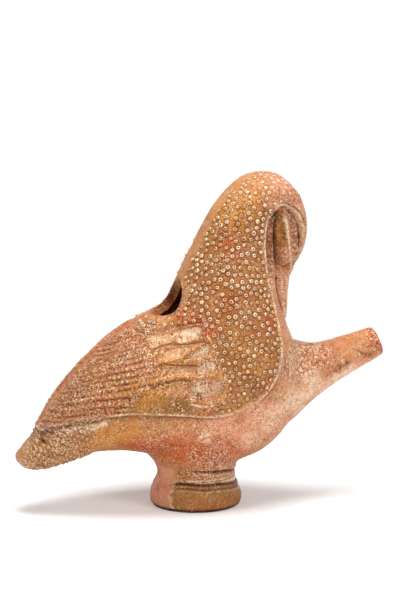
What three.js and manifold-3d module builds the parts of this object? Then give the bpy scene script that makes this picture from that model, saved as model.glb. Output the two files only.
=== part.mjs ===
// A mould-made terracotta bottle in the shape of a bird with its head bent down on its breast.
// Millimetres, +Z up. +X points the way the spout does, and Y = 0 is the joint between the two
// moulded halves. The origin is the centre of the foot's underside.
import * as THREE from "three";
import { mergeVertices } from "three/addons/utils/BufferGeometryUtils.js";
import Module from "manifold-3d";

const wasm = await Module();
wasm.setup();

// Main size. The stations, outlines and places below are drawn for this height and grow with it.
const CROWN_HEIGHT = 163.2;
const GRID = CROWN_HEIGHT / 163.2; // millimetres to one unit of what is drawn
const drawn = (rows) => rows.map((row) => row.map((value) => value * GRID));

// Fits and walls
const FIT_GAP = 0.3; // slip between two pieces that follow each other's surface
const RECESS = 1.5; // how far belly, breast and throat lie below the plumage
const FAR = 400; // reach of the cutting boxes, well past the bottle

// Fineness of the curved surfaces
const SECTION_SIDES = 28;
const LOFT_RINGS = 44;
const ROUND_SIDES = 40;
const EDGE_POINTS = 3; // points drawn for each named point of a curved outline

// The bird's form at the level of the plumage, from the tail's tip to the brow. Each station is one
// cross-section: its point on the back, its point on the underside, its half-width, how full the
// section is (1 is an ellipse, less is fuller), and its wall where it is hollow.
const STATIONS = [
  { back: [-89.0, 29.5], under: [-89.2, 25.5], half: 4.5, full: 1.0, wall: 5 }, // tail's tip
  { back: [-84.6, 34.0], under: [-85.5, 22.3], half: 9.5, full: 0.95, wall: 5 },
  { back: [-79.5, 40.0], under: [-77.5, 21.3], half: 12.5, full: 0.95, wall: 5 }, // notch
  { back: [-74.2, 50.3], under: [-66.0, 24.0], half: 16.5, full: 0.95, wall: 5 },
  { back: [-65.6, 62.2], under: [-55.0, 27.2], half: 21.5, full: 0.95, wall: 5 }, // rump
  { back: [-52.7, 75.7], under: [-41.0, 28.0], half: 27.5, full: 1.0, wall: 5 },
  { back: [-37.8, 88.2], under: [-26.0, 26.0], half: 32.0, full: 1.0, wall: 5 }, // back
  { back: [-24.0, 96.3], under: [-8.0, 20.5], half: 34.5, full: 1.0, wall: 5 },
  { back: [-15.8, 100.8], under: [12.0, 19.0], half: 35.5, full: 1.0, wall: 5 }, // filling hole
  { back: [-11.5, 107.2], under: [31.0, 23.5], half: 35.5, full: 1.0, wall: 5 },
  { back: [-8.4, 113.7], under: [44.5, 35.0], half: 34.5, full: 0.95, wall: 5 }, // breast
  { back: [-4.9, 121.2], under: [52.5, 50.0], half: 32.0, full: 0.9, wall: 5.5 },
  { back: [-1.4, 127.7], under: [52.5, 68.0], half: 29.0, full: 0.85, wall: 6 },
  { back: [1.6, 133.7], under: [46.2, 86.0], half: 25.5, full: 0.8, wall: 7 }, // throat
  { back: [5.1, 139.7], under: [41.2, 100.0], half: 22.5, full: 0.75, wall: 7.5 },
  { back: [9.1, 146.6], under: [39.0, 114.0], half: 20.0, full: 0.7, wall: 8 }, // neck
  { back: [13.5, 152.3], under: [37.5, 127.0], half: 18.5, full: 0.7, wall: 8.5 },
  { back: [20.3, 159.1], under: [37.5, 137.0], half: 17.0, full: 0.7, wall: 9 },
  { back: [30.0, 163.2], under: [39.0, 144.5], half: 16.0, full: 0.65, wall: 9 }, // crown
  { back: [41.0, 162.2], under: [41.0, 148.0], half: 14.5, full: 0.6, wall: 9 },
  { back: [49.0, 155.2], under: [44.0, 146.0], half: 13.2, full: 0.6, wall: 9 },
  { back: [53.2, 146.0], under: [46.5, 141.5], half: 12.2, full: 0.6, wall: 9 }, // brow
  { back: [54.4, 136.0], under: [47.6, 135.0], half: 11.0, full: 0.6, wall: 9 },
  { back: [53.2, 127.2], under: [47.4, 128.5], half: 9.5, full: 0.7, wall: 9 },
  { back: [50.0, 120.3], under: [46.4, 122.2], half: 7.8, full: 0.8, wall: 9 },
  { back: [47.8, 117.2], under: [46.2, 118.8], half: 5.0, full: 1.0, wall: 9 }, // brow's lower end
];
const CAVITY_FROM = 5.0; // station at which the hollow starts, in front of the tail
const CAVITY_TO = 17.4; // station at which it ends, under the crown
const FLOOR_WALL = 5; // clay over the top of the foot's well

// Lower and front edge of the plumage, from the tail up to the face, in side view
const PLUMAGE_EDGE = drawn([
  [-54, 51],
  [-40, 53],
  [-17, 52.6],
  [4.7, 50.8],
  [19.7, 54.4],
  [31.4, 63.6],
  [37.3, 77.5],
  [36.4, 92.6],
  [34.3, 106],
  [32.3, 115],
]);

// Hollows beside the face, between the plumage and the brow, in side view
const HOLLOW_EDGE = drawn([
  [34.1, 106],
  [39, 103],
  [46, 106],
  [46.4, 121],
  [48.4, 127],
  [49, 134],
  [47.8, 140.5],
  [44.6, 146],
  [40.5, 149],
  [36.3, 148.6],
  [33, 144.6],
  [31.3, 137],
  [31.1, 127],
  [32.1, 115],
]);
// Clay left between the hollows, as seen from the front: half-width and height
const HOLLOW_CORE = drawn([
  [17.5, 101],
  [13.5, 111],
  [10.3, 121],
  [10.3, 160],
]);

// Tail: a solid paddle luted on below the wings, in side view from its underside round to the notch
const TAIL_JOINT = drawn([
  [-54, 41],
  [-51.5, 47],
  [-53, 50.5],
  [-60.5, 49.8],
  [-69.4, 46.6],
  [-76.1, 43.4],
  [-79.5, 41],
]);

// Wings: plates bedded in the halves, in side view
const WING_PROUD = 0.5;
const WING_BED = 1.7;
const RIDGE_HALF = 4.6; // half-width of the smooth strip left along the back
const WING_TOP = drawn([
  [-86, 60],
  [-60, 84],
  [-38, 92],
  [-25.3, 91.7],
  [-14.2, 93.6],
  [-2.8, 97],
]);
const WING_FRONT = drawn([
  [-0.1, 91.7],
  [2.2, 84.9],
  [4.7, 77.5],
  [8.6, 68],
  [5.5, 58.6],
  [-3, 51.4],
]);
const WING_FOOT = drawn([
  [-17, 52.6],
  [-40, 53],
  [-54, 48],
  [-80, 38],
]);

// Coverts: pockets pressed into the front of the wing, in side view, from the highest down
const POCKET_DEPTH = 1.1;
const POCKETS = [
  [[-16, 91.6], [-10, 93.2], [-5, 94.4], [-2.6, 94], [-3, 91.3], [-6.2, 88.6], [-14.6, 86.8]],
  [[-28, 89.4], [-18, 90.6], [-14.9, 89.6], [-17.8, 86.3], [-27, 84.4]],
  [[0.2, 86.2], [1, 84.9], [-0.2, 82.9], [-3.6, 80.9], [-13, 79.2], [-8, 82.2], [-3.6, 86]],
  [[-21, 83.6], [-14, 85], [-8.5, 85.3], [-10.5, 82], [-15.4, 79.6], [-22.2, 80]],
  [[-6.4, 75.6], [-1.5, 78.4], [1.9, 78.4], [3.2, 76.6], [2.2, 74.3], [-1.8, 72.9], [-6, 73]],
  [[-23, 75.8], [-8, 75.4], [-7.8, 73.2], [-18, 72.4], [-25, 71.2]],
  [[-9.5, 68.4], [-4, 69.8], [2, 70], [5.6, 68.5], [6.6, 66.3], [5.2, 62.9], [-4.6, 61.4], [-9.4, 63.5]],
  [[-22, 67.6], [-11.8, 68.6], [-11.2, 64.2], [-22, 64.2]],
].map(drawn);

// Long feathers: guide lines in side view, from the lowest up. The solid carries every second one
// of the feathers that lie along them.
const FEATHER_GUIDES = [
  [[-69, 52.2], [-51.5, 56.2], [-28, 57.6]],
  [[-67.5, 56.9], [-55.6, 60.9], [-35.5, 65.5]],
  [[-62.9, 61.9], [-53.1, 65.5], [-30.7, 70.6]],
  [[-59.8, 66], [-50.4, 69.9], [-28, 75.9]],
  [[-56.2, 70.5], [-45.4, 75.4], [-32, 79.6]],
  [[-52.5, 74.5], [-42.7, 79.2], [-31.5, 82.8]],
  [[-48.5, 78.5], [-39.9, 82.6], [-28.7, 86.5]],
  [[-44.5, 82.2], [-34.8, 87], [-26, 89]],
].map(drawn);
const FEATHERS_PER_GUIDE = 1.6;
const FEATHER_PROUD = 0.35;
const FEATHER_HALF = 0.9; // half-width of a feather's raised part
const FEATHER_STEPS = 5;

// Plumage: pellets of clay in rows round neck, mantle and crown. The solid carries the main ones.
const PELLET_ROWS = { first: 8.4, last: 19.2, step: 0.6 }; // station shares
const PELLET_SPACING = 9; // along a row
const PELLET_PROUD = 0.45;
const PELLET_ROOT = 0.6; // how deep it is set in the clay
const PELLET_FOOT_RADIUS = 1.1;
const PELLET_TOP_RADIUS = 0.7;
const PELLET_SIDES = 6;
const PELLET_GROUND = drawn([
  [9, 57],
  [19, 58],
  [29, 66],
  [34.3, 78],
  [33.4, 93],
  [29.5, 115],
  [28.8, 137],
  [31, 147],
  [36, 152.5],
  [43, 153],
  [41, 159],
  [32, 161],
  [21, 156.5],
  [14, 149],
  [9.5, 140],
  [5, 131],
  [0.5, 121],
  [-2, 110],
  [0, 101],
  [-4, 98.8],
  [-14, 96.2],
  [-26, 94],
  [-25, 93.2],
  [-1, 98],
  [3.5, 92],
  [6.5, 78],
  [10.5, 68],
]);

// Filling hole, cut where the back meets the nape
const HOLE_CENTRE = [-15.7 * GRID, 105 * GRID];
const HOLE_TILT = 45; // degrees its axis leans back from upright
const HOLE_RADIUS = 11;
const HOLE_BREADTH = 1.15; // across the bird, against its length

// Spout, on an axis that rises out of the breast
const SPOUT_TILT = 22.5; // degrees above level
const SPOUT_JOINT = [68.1 * GRID, 68.2 * GRID]; // centre of the flat face where it meets the breast
const SPOUT_LENGTH = 25.3;
const SPOUT_TIP_RADIUS = 6.7;
const SPOUT_ROOT_RADIUS = 10.4;
const SPOUT_BORE_TIP = 3.5; // radius
const SPOUT_BORE_ROOT = 5.4; // radius
const SPIGOT_LENGTH = 5;
const SPIGOT_WALL = 2.1;
const LIP_ROUND = 1.4;

// Swell of the breast that carries the spout: distance behind the joint, growth of the radius from
// the spout's root, lift off the axis
const BREAST_SWELL = drawn([
  [0, 0, 0],
  [6, 1.3, 0.1],
  [14, 4.8, 2.1],
  [22, 8.3, 3.3],
  [30, 11.9, 3.6],
]);
const CHANNEL_RADIUS = 10; // of the channel behind the spout, where it opens into the belly

// Foot
const FOOT_JOINT_Z = 15; // flat face where the foot ring meets the halves
const FOOT_BASE_RADIUS = 20.8;
const FOOT_RADIUS = 22.4;
const FOOT_WAIST_RADIUS = 18.9;
const FOOT_WELL_RADIUS = 13.5;
const FOOT_FLARE_RADIUS = 25; // where the collar runs into the belly
const FOOT_FLARE_Z = 27;
const FOOT_LEDGE = 1.7; // depth of the ledge near the top of the foot
const BASE_SEAT_RADIUS = 17;
const BASE_THICKNESS = 5;

// Face and bill: height, centre's X, half-depth, half-width
const FACE_SECTIONS = drawn([
  [152, 42.0, 4.0, 6.0],
  [143, 42.5, 6.0, 8.5],
  [134, 43.0, 6.5, 9.5],
  [126, 43.2, 6.5, 9.0],
  [118, 42.6, 5.2, 7.0],
  [112.5, 42.0, 4.6, 5.6],
]);
const BILL_SECTIONS = drawn([
  [112.5, 42.0, 4.6, 5.6],
  [103, 41.5, 4.3, 4.8],
  [94, 41.8, 3.6, 3.8],
  [89, 42.2, 2.2, 2.4],
]);
const BILL_GAP = 0.3; // the bill hangs this far below the face
const [CHEEK_CENTRE, CHEEK_RADII] = drawn([
  [42, 7.5, 132.5], // mirrored to the other side
  [3.8, 5, 12.5],
]);

// A closed geometry as a solid for cutting and joining.
function solidOf(geometry) {
  const bare = new THREE.BufferGeometry();
  bare.setAttribute("position", geometry.getAttribute("position"));
  if (geometry.index) bare.setIndex(geometry.index);
  const merged = mergeVertices(bare, 1e-4);
  return new wasm.Manifold(
    new wasm.Mesh({
      numProp: 3,
      vertProperties: new Float32Array(merged.attributes.position.array),
      triVerts: new Uint32Array(merged.index.array),
    }),
  );
}

// A solid back as a geometry.
function geometryOf(solid) {
  const mesh = solid.getMesh();
  const geometry = new THREE.BufferGeometry();
  geometry.setAttribute("position", new THREE.BufferAttribute(mesh.vertProperties, 3));
  geometry.setIndex(new THREE.BufferAttribute(mesh.triVerts, 1));
  geometry.computeVertexNormals();
  return geometry;
}

// A closed skin over rings of points that all have the same count, closed by a fan at each end.
function skin(rings) {
  const sides = rings[0].length;
  const points = rings.flat();
  const first = points.length;
  const middle = (ring) =>
    ring.reduce((sum, p) => sum.add(p), new THREE.Vector3()).divideScalar(sides);
  points.push(middle(rings[0]), middle(rings[rings.length - 1]));
  const last = (rings.length - 1) * sides;
  const index = [];
  for (let i = 0; i < sides; i++) {
    const next = (i + 1) % sides;
    for (let r = 0; r < last; r += sides) {
      index.push(r + i, r + next, r + sides + i);
      index.push(r + next, r + sides + next, r + sides + i);
    }
    index.push(first, next, i);
    index.push(first + 1, last + i, last + next);
  }
  const geometry = new THREE.BufferGeometry().setFromPoints(points);
  geometry.setIndex(index);
  return solidOf(geometry);
}

const inSideView = ([x, z]) => new THREE.Vector3(x, 0, z);
const sideLine = (points) => new THREE.CatmullRomCurve3(drawn(points).map(inSideView));
const BACK_LINE = sideLine(STATIONS.map((s) => s.back));
const UNDER_LINE = sideLine(STATIONS.map((s) => s.under));
const BREADTH_LINE = new THREE.CatmullRomCurve3(
  STATIONS.map((s) => new THREE.Vector3(s.wall * GRID, s.half * GRID, s.full)),
);
const LAST_STATION = STATIONS.length - 1;

// The cross-section at a share of the way along the stations, grown by an amount. With no amount
// it is set in by its wall.
function sectionAt(share, amount) {
  const t = share / LAST_STATION;
  const back = BACK_LINE.getPoint(t);
  const under = UNDER_LINE.getPoint(t);
  const breadth = BREADTH_LINE.getPoint(t);
  const grow = amount ?? -breadth.x;
  const centre = back.clone().add(under).divideScalar(2);
  const along = under.clone().sub(back);
  const depth = along.length() / 2 + grow;
  return { centre, along: along.normalize(), depth, half: breadth.y + grow, full: breadth.z };
}

// A point of a cross-section, from the angle's cosine (1 is the back) and sine (across the bird).
function onSection({ centre, along, depth, half, full }, cosine, sine) {
  const point = centre.clone().addScaledVector(along, -depth * cosine);
  return point.setY(half * Math.sign(sine) * Math.abs(sine) ** full);
}

// The bird's form between two stations, grown by an amount.
function loft(amount, from = 0, to = LAST_STATION, rings = LOFT_RINGS) {
  const made = [];
  for (let r = 0; r <= rings; r++) {
    const section = sectionAt(from + ((to - from) * r) / rings, amount);
    const ring = [];
    for (let i = 0; i < SECTION_SIDES; i++) {
      const angle = (-2 * Math.PI * i) / SECTION_SIDES;
      const sine = i % (SECTION_SIDES / 2) === 0 ? 0 : Math.sin(angle);
      ring.push(onSection(section, Math.cos(angle), sine));
    }
    made.push(ring);
  }
  return skin(made);
}

// Points of a smooth curve through the given side-view points.
function smooth(points) {
  const curve = new THREE.SplineCurve(points.map(([x, z]) => new THREE.Vector2(x, z)));
  return curve.getPoints((points.length - 1) * EDGE_POINTS).map((p) => [p.x, p.y]);
}

// A side-view outline drawn through the whole bird from one side to the other.
function slab(outline, low = -FAR, high = FAR) {
  const shape = new THREE.Shape(outline.map(([x, z]) => new THREE.Vector2(x, z)));
  const settings = { depth: high - low, bevelEnabled: false, steps: 1 };
  const geometry = new THREE.ExtrudeGeometry(shape, settings);
  geometry.rotateX(Math.PI / 2); // the outline's plane becomes XZ, and the slab runs to -Y
  geometry.translate(0, high, 0);
  return solidOf(geometry);
}

// A front-view outline of [y, z] points, drawn through the whole bird from end to end.
function frontSlab(outline) {
  const shape = new THREE.Shape(outline.map(([y, z]) => new THREE.Vector2(y, z)));
  const settings = { depth: 2 * FAR, bevelEnabled: false, steps: 1 };
  const geometry = new THREE.ExtrudeGeometry(shape, settings);
  geometry.rotateX(Math.PI / 2);
  geometry.rotateZ(Math.PI / 2); // the outline's plane becomes YZ, and the slab runs to +X
  geometry.translate(-FAR, 0, 0);
  return solidOf(geometry);
}

// A closed outline moved outwards by a distance; it runs anticlockwise in side view.
function spread(outline, distance) {
  return outline.map((point, i) => {
    const before = outline[(i + outline.length - 1) % outline.length];
    const after = outline[(i + 1) % outline.length];
    const run = new THREE.Vector2(after[0] - before[0], after[1] - before[1]).normalize();
    return [point[0] + run.y * distance, point[1] - run.x * distance];
  });
}

// A box between two corners, as a solid.
function block(low, high) {
  const size = high.map((h, i) => h - low[i]);
  const geometry = new THREE.BoxGeometry(...size);
  geometry.translate(...high.map((h, i) => (h + low[i]) / 2));
  return solidOf(geometry);
}

// A turned geometry from a profile of [radius, height].
function turned(profile) {
  const points = profile.map(([r, h]) => new THREE.Vector2(r, h));
  const geometry = new THREE.LatheGeometry(points, ROUND_SIDES);
  geometry.rotateX(Math.PI / 2); // the lathe's axis, Y, becomes Z
  return geometry;
}

// Turns a geometry whose axis is Z so that it leans in the XZ plane, then moves it to [x, z].
function lean(geometry, degreesFromUp, [x, z]) {
  geometry.rotateY(THREE.MathUtils.degToRad(degreesFromUp));
  geometry.translate(x, 0, z);
  return geometry;
}

// A column of oval sections that runs down from the first.
function column(sections) {
  const rings = sections.map(([z, x, depth, half]) => {
    const ring = [];
    for (let i = 0; i < SECTION_SIDES; i++) {
      const angle = (-2 * Math.PI * i) / SECTION_SIDES;
      ring.push(new THREE.Vector3(x + depth * Math.cos(angle), half * Math.sin(angle), z));
    }
    return ring;
  });
  return skin(rings);
}

const bellyRegion = slab([
  [PLUMAGE_EDGE[0][0], -FAR],
  [FAR, -FAR],
  [FAR, PLUMAGE_EDGE.at(-1)[1]],
  ...smooth(PLUMAGE_EDGE).toReversed(),
]);
const tailOutline = [
  [-FAR, TAIL_JOINT.at(-1)[1]],
  [-FAR, -FAR],
  [TAIL_JOINT[0][0], -FAR],
  ...TAIL_JOINT,
];
const wingOutline = [
  ...smooth([...WING_TOP].toReversed()),
  ...smooth(WING_FOOT.toReversed()),
  ...smooth(WING_FRONT.toReversed()),
];

function faceHollows(grow) {
  const right = HOLLOW_CORE.map(([half, z]) => [half + grow, z]);
  const left = right.map(([half, z]) => [-half, z]).toReversed();
  return slab(spread(HOLLOW_EDGE, -grow)).subtract(frontSlab([...right, ...left]));
}

// The bird's outside: belly, breast and throat set back from the plumage, hollows by the face.
function birdForm(grow) {
  const belly = bellyRegion.subtract(loft(grow - RECESS));
  return loft(grow).subtract(belly).subtract(faceHollows(grow));
}

function fillingHole() {
  const shaft = new THREE.CylinderGeometry(HOLE_RADIUS, HOLE_RADIUS, 4 * HOLE_RADIUS, ROUND_SIDES);
  shaft.rotateX(Math.PI / 2);
  shaft.scale(1, HOLE_BREADTH, 1);
  shaft.translate(0, 0, HOLE_RADIUS);
  return solidOf(lean(shaft, -HOLE_TILT, HOLE_CENTRE));
}

// The collar under the belly, down to the flat face that the foot ring meets.
function footCollar() {
  const rise = FOOT_FLARE_Z - FOOT_JOINT_Z;
  const flare = FOOT_FLARE_RADIUS - FOOT_WAIST_RADIUS;
  const profile = [
    [0, FOOT_JOINT_Z],
    [FOOT_WAIST_RADIUS, FOOT_JOINT_Z],
    [FOOT_WAIST_RADIUS, FOOT_JOINT_Z + 0.2 * rise],
    [FOOT_WAIST_RADIUS + 0.2 * flare, FOOT_JOINT_Z + 0.5 * rise],
    [FOOT_FLARE_RADIUS, FOOT_FLARE_Z],
    [0, FOOT_FLARE_Z],
  ];
  return solidOf(turned(profile));
}

function footWell() {
  const top = FOOT_FLARE_Z + FLOOR_WALL;
  const profile = [
    [0, FOOT_JOINT_Z - 1],
    [FOOT_WELL_RADIUS, FOOT_JOINT_Z - 1],
    [FOOT_WELL_RADIUS, top],
    [0, top],
  ];
  return solidOf(turned(profile));
}

function breastSwell() {
  const tilt = THREE.MathUtils.degToRad(SPOUT_TILT);
  const forward = new THREE.Vector3(Math.cos(tilt), 0, Math.sin(tilt));
  const up = new THREE.Vector3(-Math.sin(tilt), 0, Math.cos(tilt));
  const rings = BREAST_SWELL.map(([behind, growth, lift]) => {
    const radius = SPOUT_ROOT_RADIUS + growth;
    const centre = inSideView(SPOUT_JOINT);
    centre.addScaledVector(forward, -behind).addScaledVector(up, lift);
    const ring = [];
    for (let i = 0; i < ROUND_SIDES; i++) {
      const angle = (2 * Math.PI * i) / ROUND_SIDES;
      const point = centre.clone().addScaledVector(up, radius * Math.cos(angle));
      ring.push(point.setY(radius * Math.sin(angle)));
    }
    return ring;
  });
  return skin(rings);
}

const SPIGOT_RADIUS = SPOUT_BORE_ROOT + SPIGOT_WALL;
const SOCKET_RADIUS = SPIGOT_RADIUS + FIT_GAP;
const SOCKET_DEPTH = SPIGOT_LENGTH + FIT_GAP;

// The way from the belly to the spout, turned about the spout's axis with the joint at height 0.
function breastChannel() {
  const deep = BREAST_SWELL[BREAST_SWELL.length - 1][0];
  const profile = [
    [0, -deep],
    [CHANNEL_RADIUS, -deep],
    [SPOUT_BORE_ROOT, -SOCKET_DEPTH],
    [SOCKET_RADIUS, -SOCKET_DEPTH],
    [SOCKET_RADIUS, 1],
    [0, 1],
  ];
  return solidOf(lean(turned(profile), 90 - SPOUT_TILT, SPOUT_JOINT));
}

// Both halves in one, before the cut at Y = 0.
function bodyShell() {
  const hollow = loft(null, CAVITY_FROM, CAVITY_TO, LOFT_RINGS / 2);
  const belowFoot = block([-FAR, -FAR, -FAR], [FAR, FAR, FOOT_JOINT_Z]);
  return birdForm(0)
    .add(footCollar())
    .add(breastSwell())
    .subtract(hollow)
    .subtract(footWell())
    .subtract(breastChannel())
    .subtract(fillingHole())
    .subtract(belowFoot)
    .subtract(slab(spread(tailOutline, FIT_GAP)));
}

// One wing's region, with a slip all round it.
function wingRegion(side, slip) {
  const inner = RIDGE_HALF - slip;
  const [low, high] = side < 0 ? [-FAR, -inner] : [inner, FAR];
  return slab(spread(wingOutline, slip), low, high);
}

// Whether a side-view point lies within an outline.
function within(outline, { x, z }) {
  return outline.reduce((isIn, [ax, az], i) => {
    const [bx, bz] = outline[(i + 1) % outline.length];
    const crosses = az > z !== bz > z && x < ax + ((bx - ax) * (z - az)) / (bz - az);
    return crosses ? !isIn : isIn;
  }, false);
}

// A pellet on the bird's side, on its row's cross-section, at an angle from the back.
function pellet(share, angle, side) {
  const at = (s, a) => onSection(sectionAt(s, 0), Math.cos(a), side * Math.sin(a));
  const nudge = 0.02;
  const spot = at(share, angle);
  const round = at(share, angle + nudge).sub(at(share, angle - nudge));
  const onwards = at(share + nudge, angle).sub(at(share - nudge, angle));
  const out = round.cross(onwards).normalize();
  if (out.y * side < 0) out.negate();
  const height = PELLET_PROUD + PELLET_ROOT;
  const button = new THREE.CylinderGeometry(
    PELLET_TOP_RADIUS,
    PELLET_FOOT_RADIUS,
    height,
    PELLET_SIDES,
  );
  button.translate(0, height / 2 - PELLET_ROOT, 0);
  const upright = new THREE.Vector3(0, 1, 0);
  button.applyQuaternion(new THREE.Quaternion().setFromUnitVectors(upright, out));
  button.translate(spot.x, spot.y, spot.z);
  return { spot, button };
}

// The main pellets of one side: rows round the bird, every other row shifted by half a spacing.
function pellets(side) {
  const made = [];
  const { first, last, step } = PELLET_ROWS;
  for (let row = 0; first + row * step <= last; row++) {
    const share = first + row * step;
    const { depth, half } = sectionAt(share, 0);
    const halfWay = Math.PI * Math.sqrt((depth ** 2 + half ** 2) / 2);
    const count = Math.round(halfWay / PELLET_SPACING);
    for (let i = 1; i < count; i++) {
      const { spot, button } = pellet(share, (Math.PI * (i + (row % 2) / 2)) / count, side);
      if (within(PELLET_GROUND, spot)) made.push(solidOf(button));
    }
  }
  return wasm.Manifold.union(made);
}

function bodyHalf(shell, side) {
  const low = [-FAR, side < 0 ? -FAR : 0, 0];
  const high = [FAR, side < 0 ? 0 : FAR, FAR];
  const bed = wingRegion(side, FIT_GAP).subtract(loft(-WING_BED - FIT_GAP));
  return shell.intersect(block(low, high)).subtract(bed).add(pellets(side));
}

// Height of a guide line at x, run on past its ends.
function heightOn(guide, x) {
  let i = 1;
  while (i < guide.length - 1 && x > guide[i][0]) i++;
  const [[x0, z0], [x1, z1]] = [guide[i - 1], guide[i]];
  return z0 + ((z1 - z0) * (x - x0)) / (x1 - x0);
}

// Side-view outline of a feather's raised part; its count is a share of the way up the guides.
function featherOutline(count) {
  const low = FEATHER_GUIDES[Math.floor(count)];
  const high = FEATHER_GUIDES[Math.floor(count) + 1];
  const between = (a, b) => a + (b - a) * (count % 1);
  const start = between(low[0][0], high[0][0]);
  const end = between(low.at(-1)[0], high.at(-1)[0]);
  const line = [];
  for (let i = 0; i <= FEATHER_STEPS; i++) {
    const x = start + ((end - start) * i) / FEATHER_STEPS;
    line.push([x, between(heightOn(low, x), heightOn(high, x))]);
  }
  const under = line.map(([x, z]) => [x, z - FEATHER_HALF]);
  const over = line.map(([x, z]) => [x, z + FEATHER_HALF]);
  return [...under, ...over.toReversed()];
}

function feathers() {
  const made = [];
  const last = (FEATHER_GUIDES.length - 1) * FEATHERS_PER_GUIDE;
  for (let n = 0.5; n < last; n += 2) made.push(slab(featherOutline(n / FEATHERS_PER_GUIDE)));
  return wasm.Manifold.union(made).intersect(loft(WING_PROUD + FEATHER_PROUD));
}

function coverts() {
  const pressed = wasm.Manifold.union(POCKETS.map((outline) => slab(outline)));
  return pressed.subtract(loft(WING_PROUD - POCKET_DEPTH));
}

function wing(side) {
  return loft(WING_PROUD)
    .add(feathers())
    .intersect(wingRegion(side, 0))
    .subtract(coverts())
    .subtract(loft(-WING_BED))
    .subtract(slab(spread(tailOutline, FIT_GAP)));
}

function tail() {
  return loft(0).intersect(slab(tailOutline));
}

function face() {
  const cheek = (side) => {
    const ball = new THREE.SphereGeometry(1, SECTION_SIDES, SECTION_SIDES / 2);
    const [x, y, z] = CHEEK_CENTRE;
    ball.scale(...CHEEK_RADII);
    ball.translate(x, side * y, z);
    return solidOf(ball);
  };
  return column(FACE_SECTIONS).add(cheek(-1)).add(cheek(1)).subtract(birdForm(FIT_GAP));
}

function bill() {
  const top = BILL_SECTIONS[0][0] - BILL_GAP;
  return column(BILL_SECTIONS)
    .subtract(birdForm(FIT_GAP))
    .intersect(block([-FAR, -FAR, 0], [FAR, FAR, top]));
}

// The spout as turned about its own axis, with the joint face at height 0.
function spout() {
  const tip = SPOUT_LENGTH;
  const profile = [
    [SPOUT_BORE_ROOT, -SPIGOT_LENGTH],
    [SPIGOT_RADIUS, -SPIGOT_LENGTH],
    [SPIGOT_RADIUS, FIT_GAP],
    [SPOUT_ROOT_RADIUS, FIT_GAP],
    [SPOUT_TIP_RADIUS + LIP_ROUND / 3, tip - LIP_ROUND],
    [SPOUT_TIP_RADIUS - LIP_ROUND / 2, tip],
    [SPOUT_BORE_TIP, tip],
    [SPOUT_BORE_ROOT, -SPIGOT_LENGTH],
  ];
  return lean(turned(profile), 90 - SPOUT_TILT, SPOUT_JOINT);
}

function footRing() {
  const rise = (share) => share * FOOT_JOINT_Z;
  const fromWidest = (ledges) => FOOT_RADIUS + ledges * FOOT_LEDGE;
  const fromWaist = (ledges) => FOOT_WAIST_RADIUS + ledges * FOOT_LEDGE;
  const profile = [
    [BASE_SEAT_RADIUS, 0],
    [FOOT_BASE_RADIUS, 0],
    [fromWidest(-0.3), rise(0.08)],
    [FOOT_RADIUS, rise(0.2)],
    [FOOT_RADIUS, rise(0.47)],
    [fromWidest(-0.3), rise(0.58)],
    [fromWidest(-0.75), rise(0.68)],
    [fromWidest(-1.05), rise(0.73)],
    [fromWidest(-0.95), rise(0.78)],
    [fromWaist(0.65), rise(0.85)],
    [fromWaist(0.1), rise(0.89)],
    [fromWaist(0.2), rise(0.94)],
    [fromWaist(-0.1), FOOT_JOINT_Z],
    [FOOT_WELL_RADIUS, FOOT_JOINT_Z],
    [FOOT_WELL_RADIUS, BASE_THICKNESS],
    [BASE_SEAT_RADIUS, BASE_THICKNESS],
    [BASE_SEAT_RADIUS, 0],
  ];
  return turned(profile);
}

function footBase() {
  const radius = BASE_SEAT_RADIUS - FIT_GAP;
  const top = BASE_THICKNESS - FIT_GAP;
  return turned([[0, 0], [radius, 0], [radius, top], [0, top]]);
}

const clay = (color) => new THREE.MeshStandardMaterial({ color, roughness: 0.75, metalness: 0 });
const PLUMAGE_CLAY = clay(0xc08a55);
const BODY_CLAY = clay(0xc98a66);
const FEATHER_CLAY = clay(0xbd8560);
const SPOUT_CLAY = clay(0xc97e55);
const FOOT_CLAY = clay(0xb87c4c);

const bottle = new THREE.Group();

function addPiece(name, geometry, material) {
  const mesh = new THREE.Mesh(geometry, material);
  mesh.name = name;
  bottle.add(mesh);
}

const shell = bodyShell();
addPiece("body_half_right", geometryOf(bodyHalf(shell, -1)), PLUMAGE_CLAY);
addPiece("body_half_left", geometryOf(bodyHalf(shell, 1)), PLUMAGE_CLAY);
addPiece("wing_right", geometryOf(wing(-1)), FEATHER_CLAY);
addPiece("wing_left", geometryOf(wing(1)), FEATHER_CLAY);
addPiece("tail", geometryOf(tail()), FEATHER_CLAY);
addPiece("face", geometryOf(face()), BODY_CLAY);
addPiece("bill", geometryOf(bill()), BODY_CLAY);
addPiece("spout", spout(), SPOUT_CLAY);
addPiece("foot_ring", footRing(), FOOT_CLAY);
addPiece("foot_base", footBase(), FOOT_CLAY);

export default bottle;
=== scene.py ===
# %% [markdown]
# # A terracotta bottle in the shape of a resting bird
#
# The real bottle was pressed in a mould in two halves. The halves were joined with wet clay, and the tail,
# the bent-down face, the bill, the spout and the foot were added by hand before it was fired.
#
# This lesson builds it the same way round: first one smooth lump of clay, then the tooling of its
# surface, and only then the cuts into the pieces it was made of. Feathers and plumage run across the
# joints, so they have to be worked while the lump is still whole.
#
# Everything below sits in the same frame, in which +X points the way the spout does and Y = 0 is the joint
# between the halves.

# %% The measured frame
import math

import bmesh
import bpy
import numpy as np
from mathutils import Matrix, Vector, noise
from mathutils.kdtree import KDTree


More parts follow.
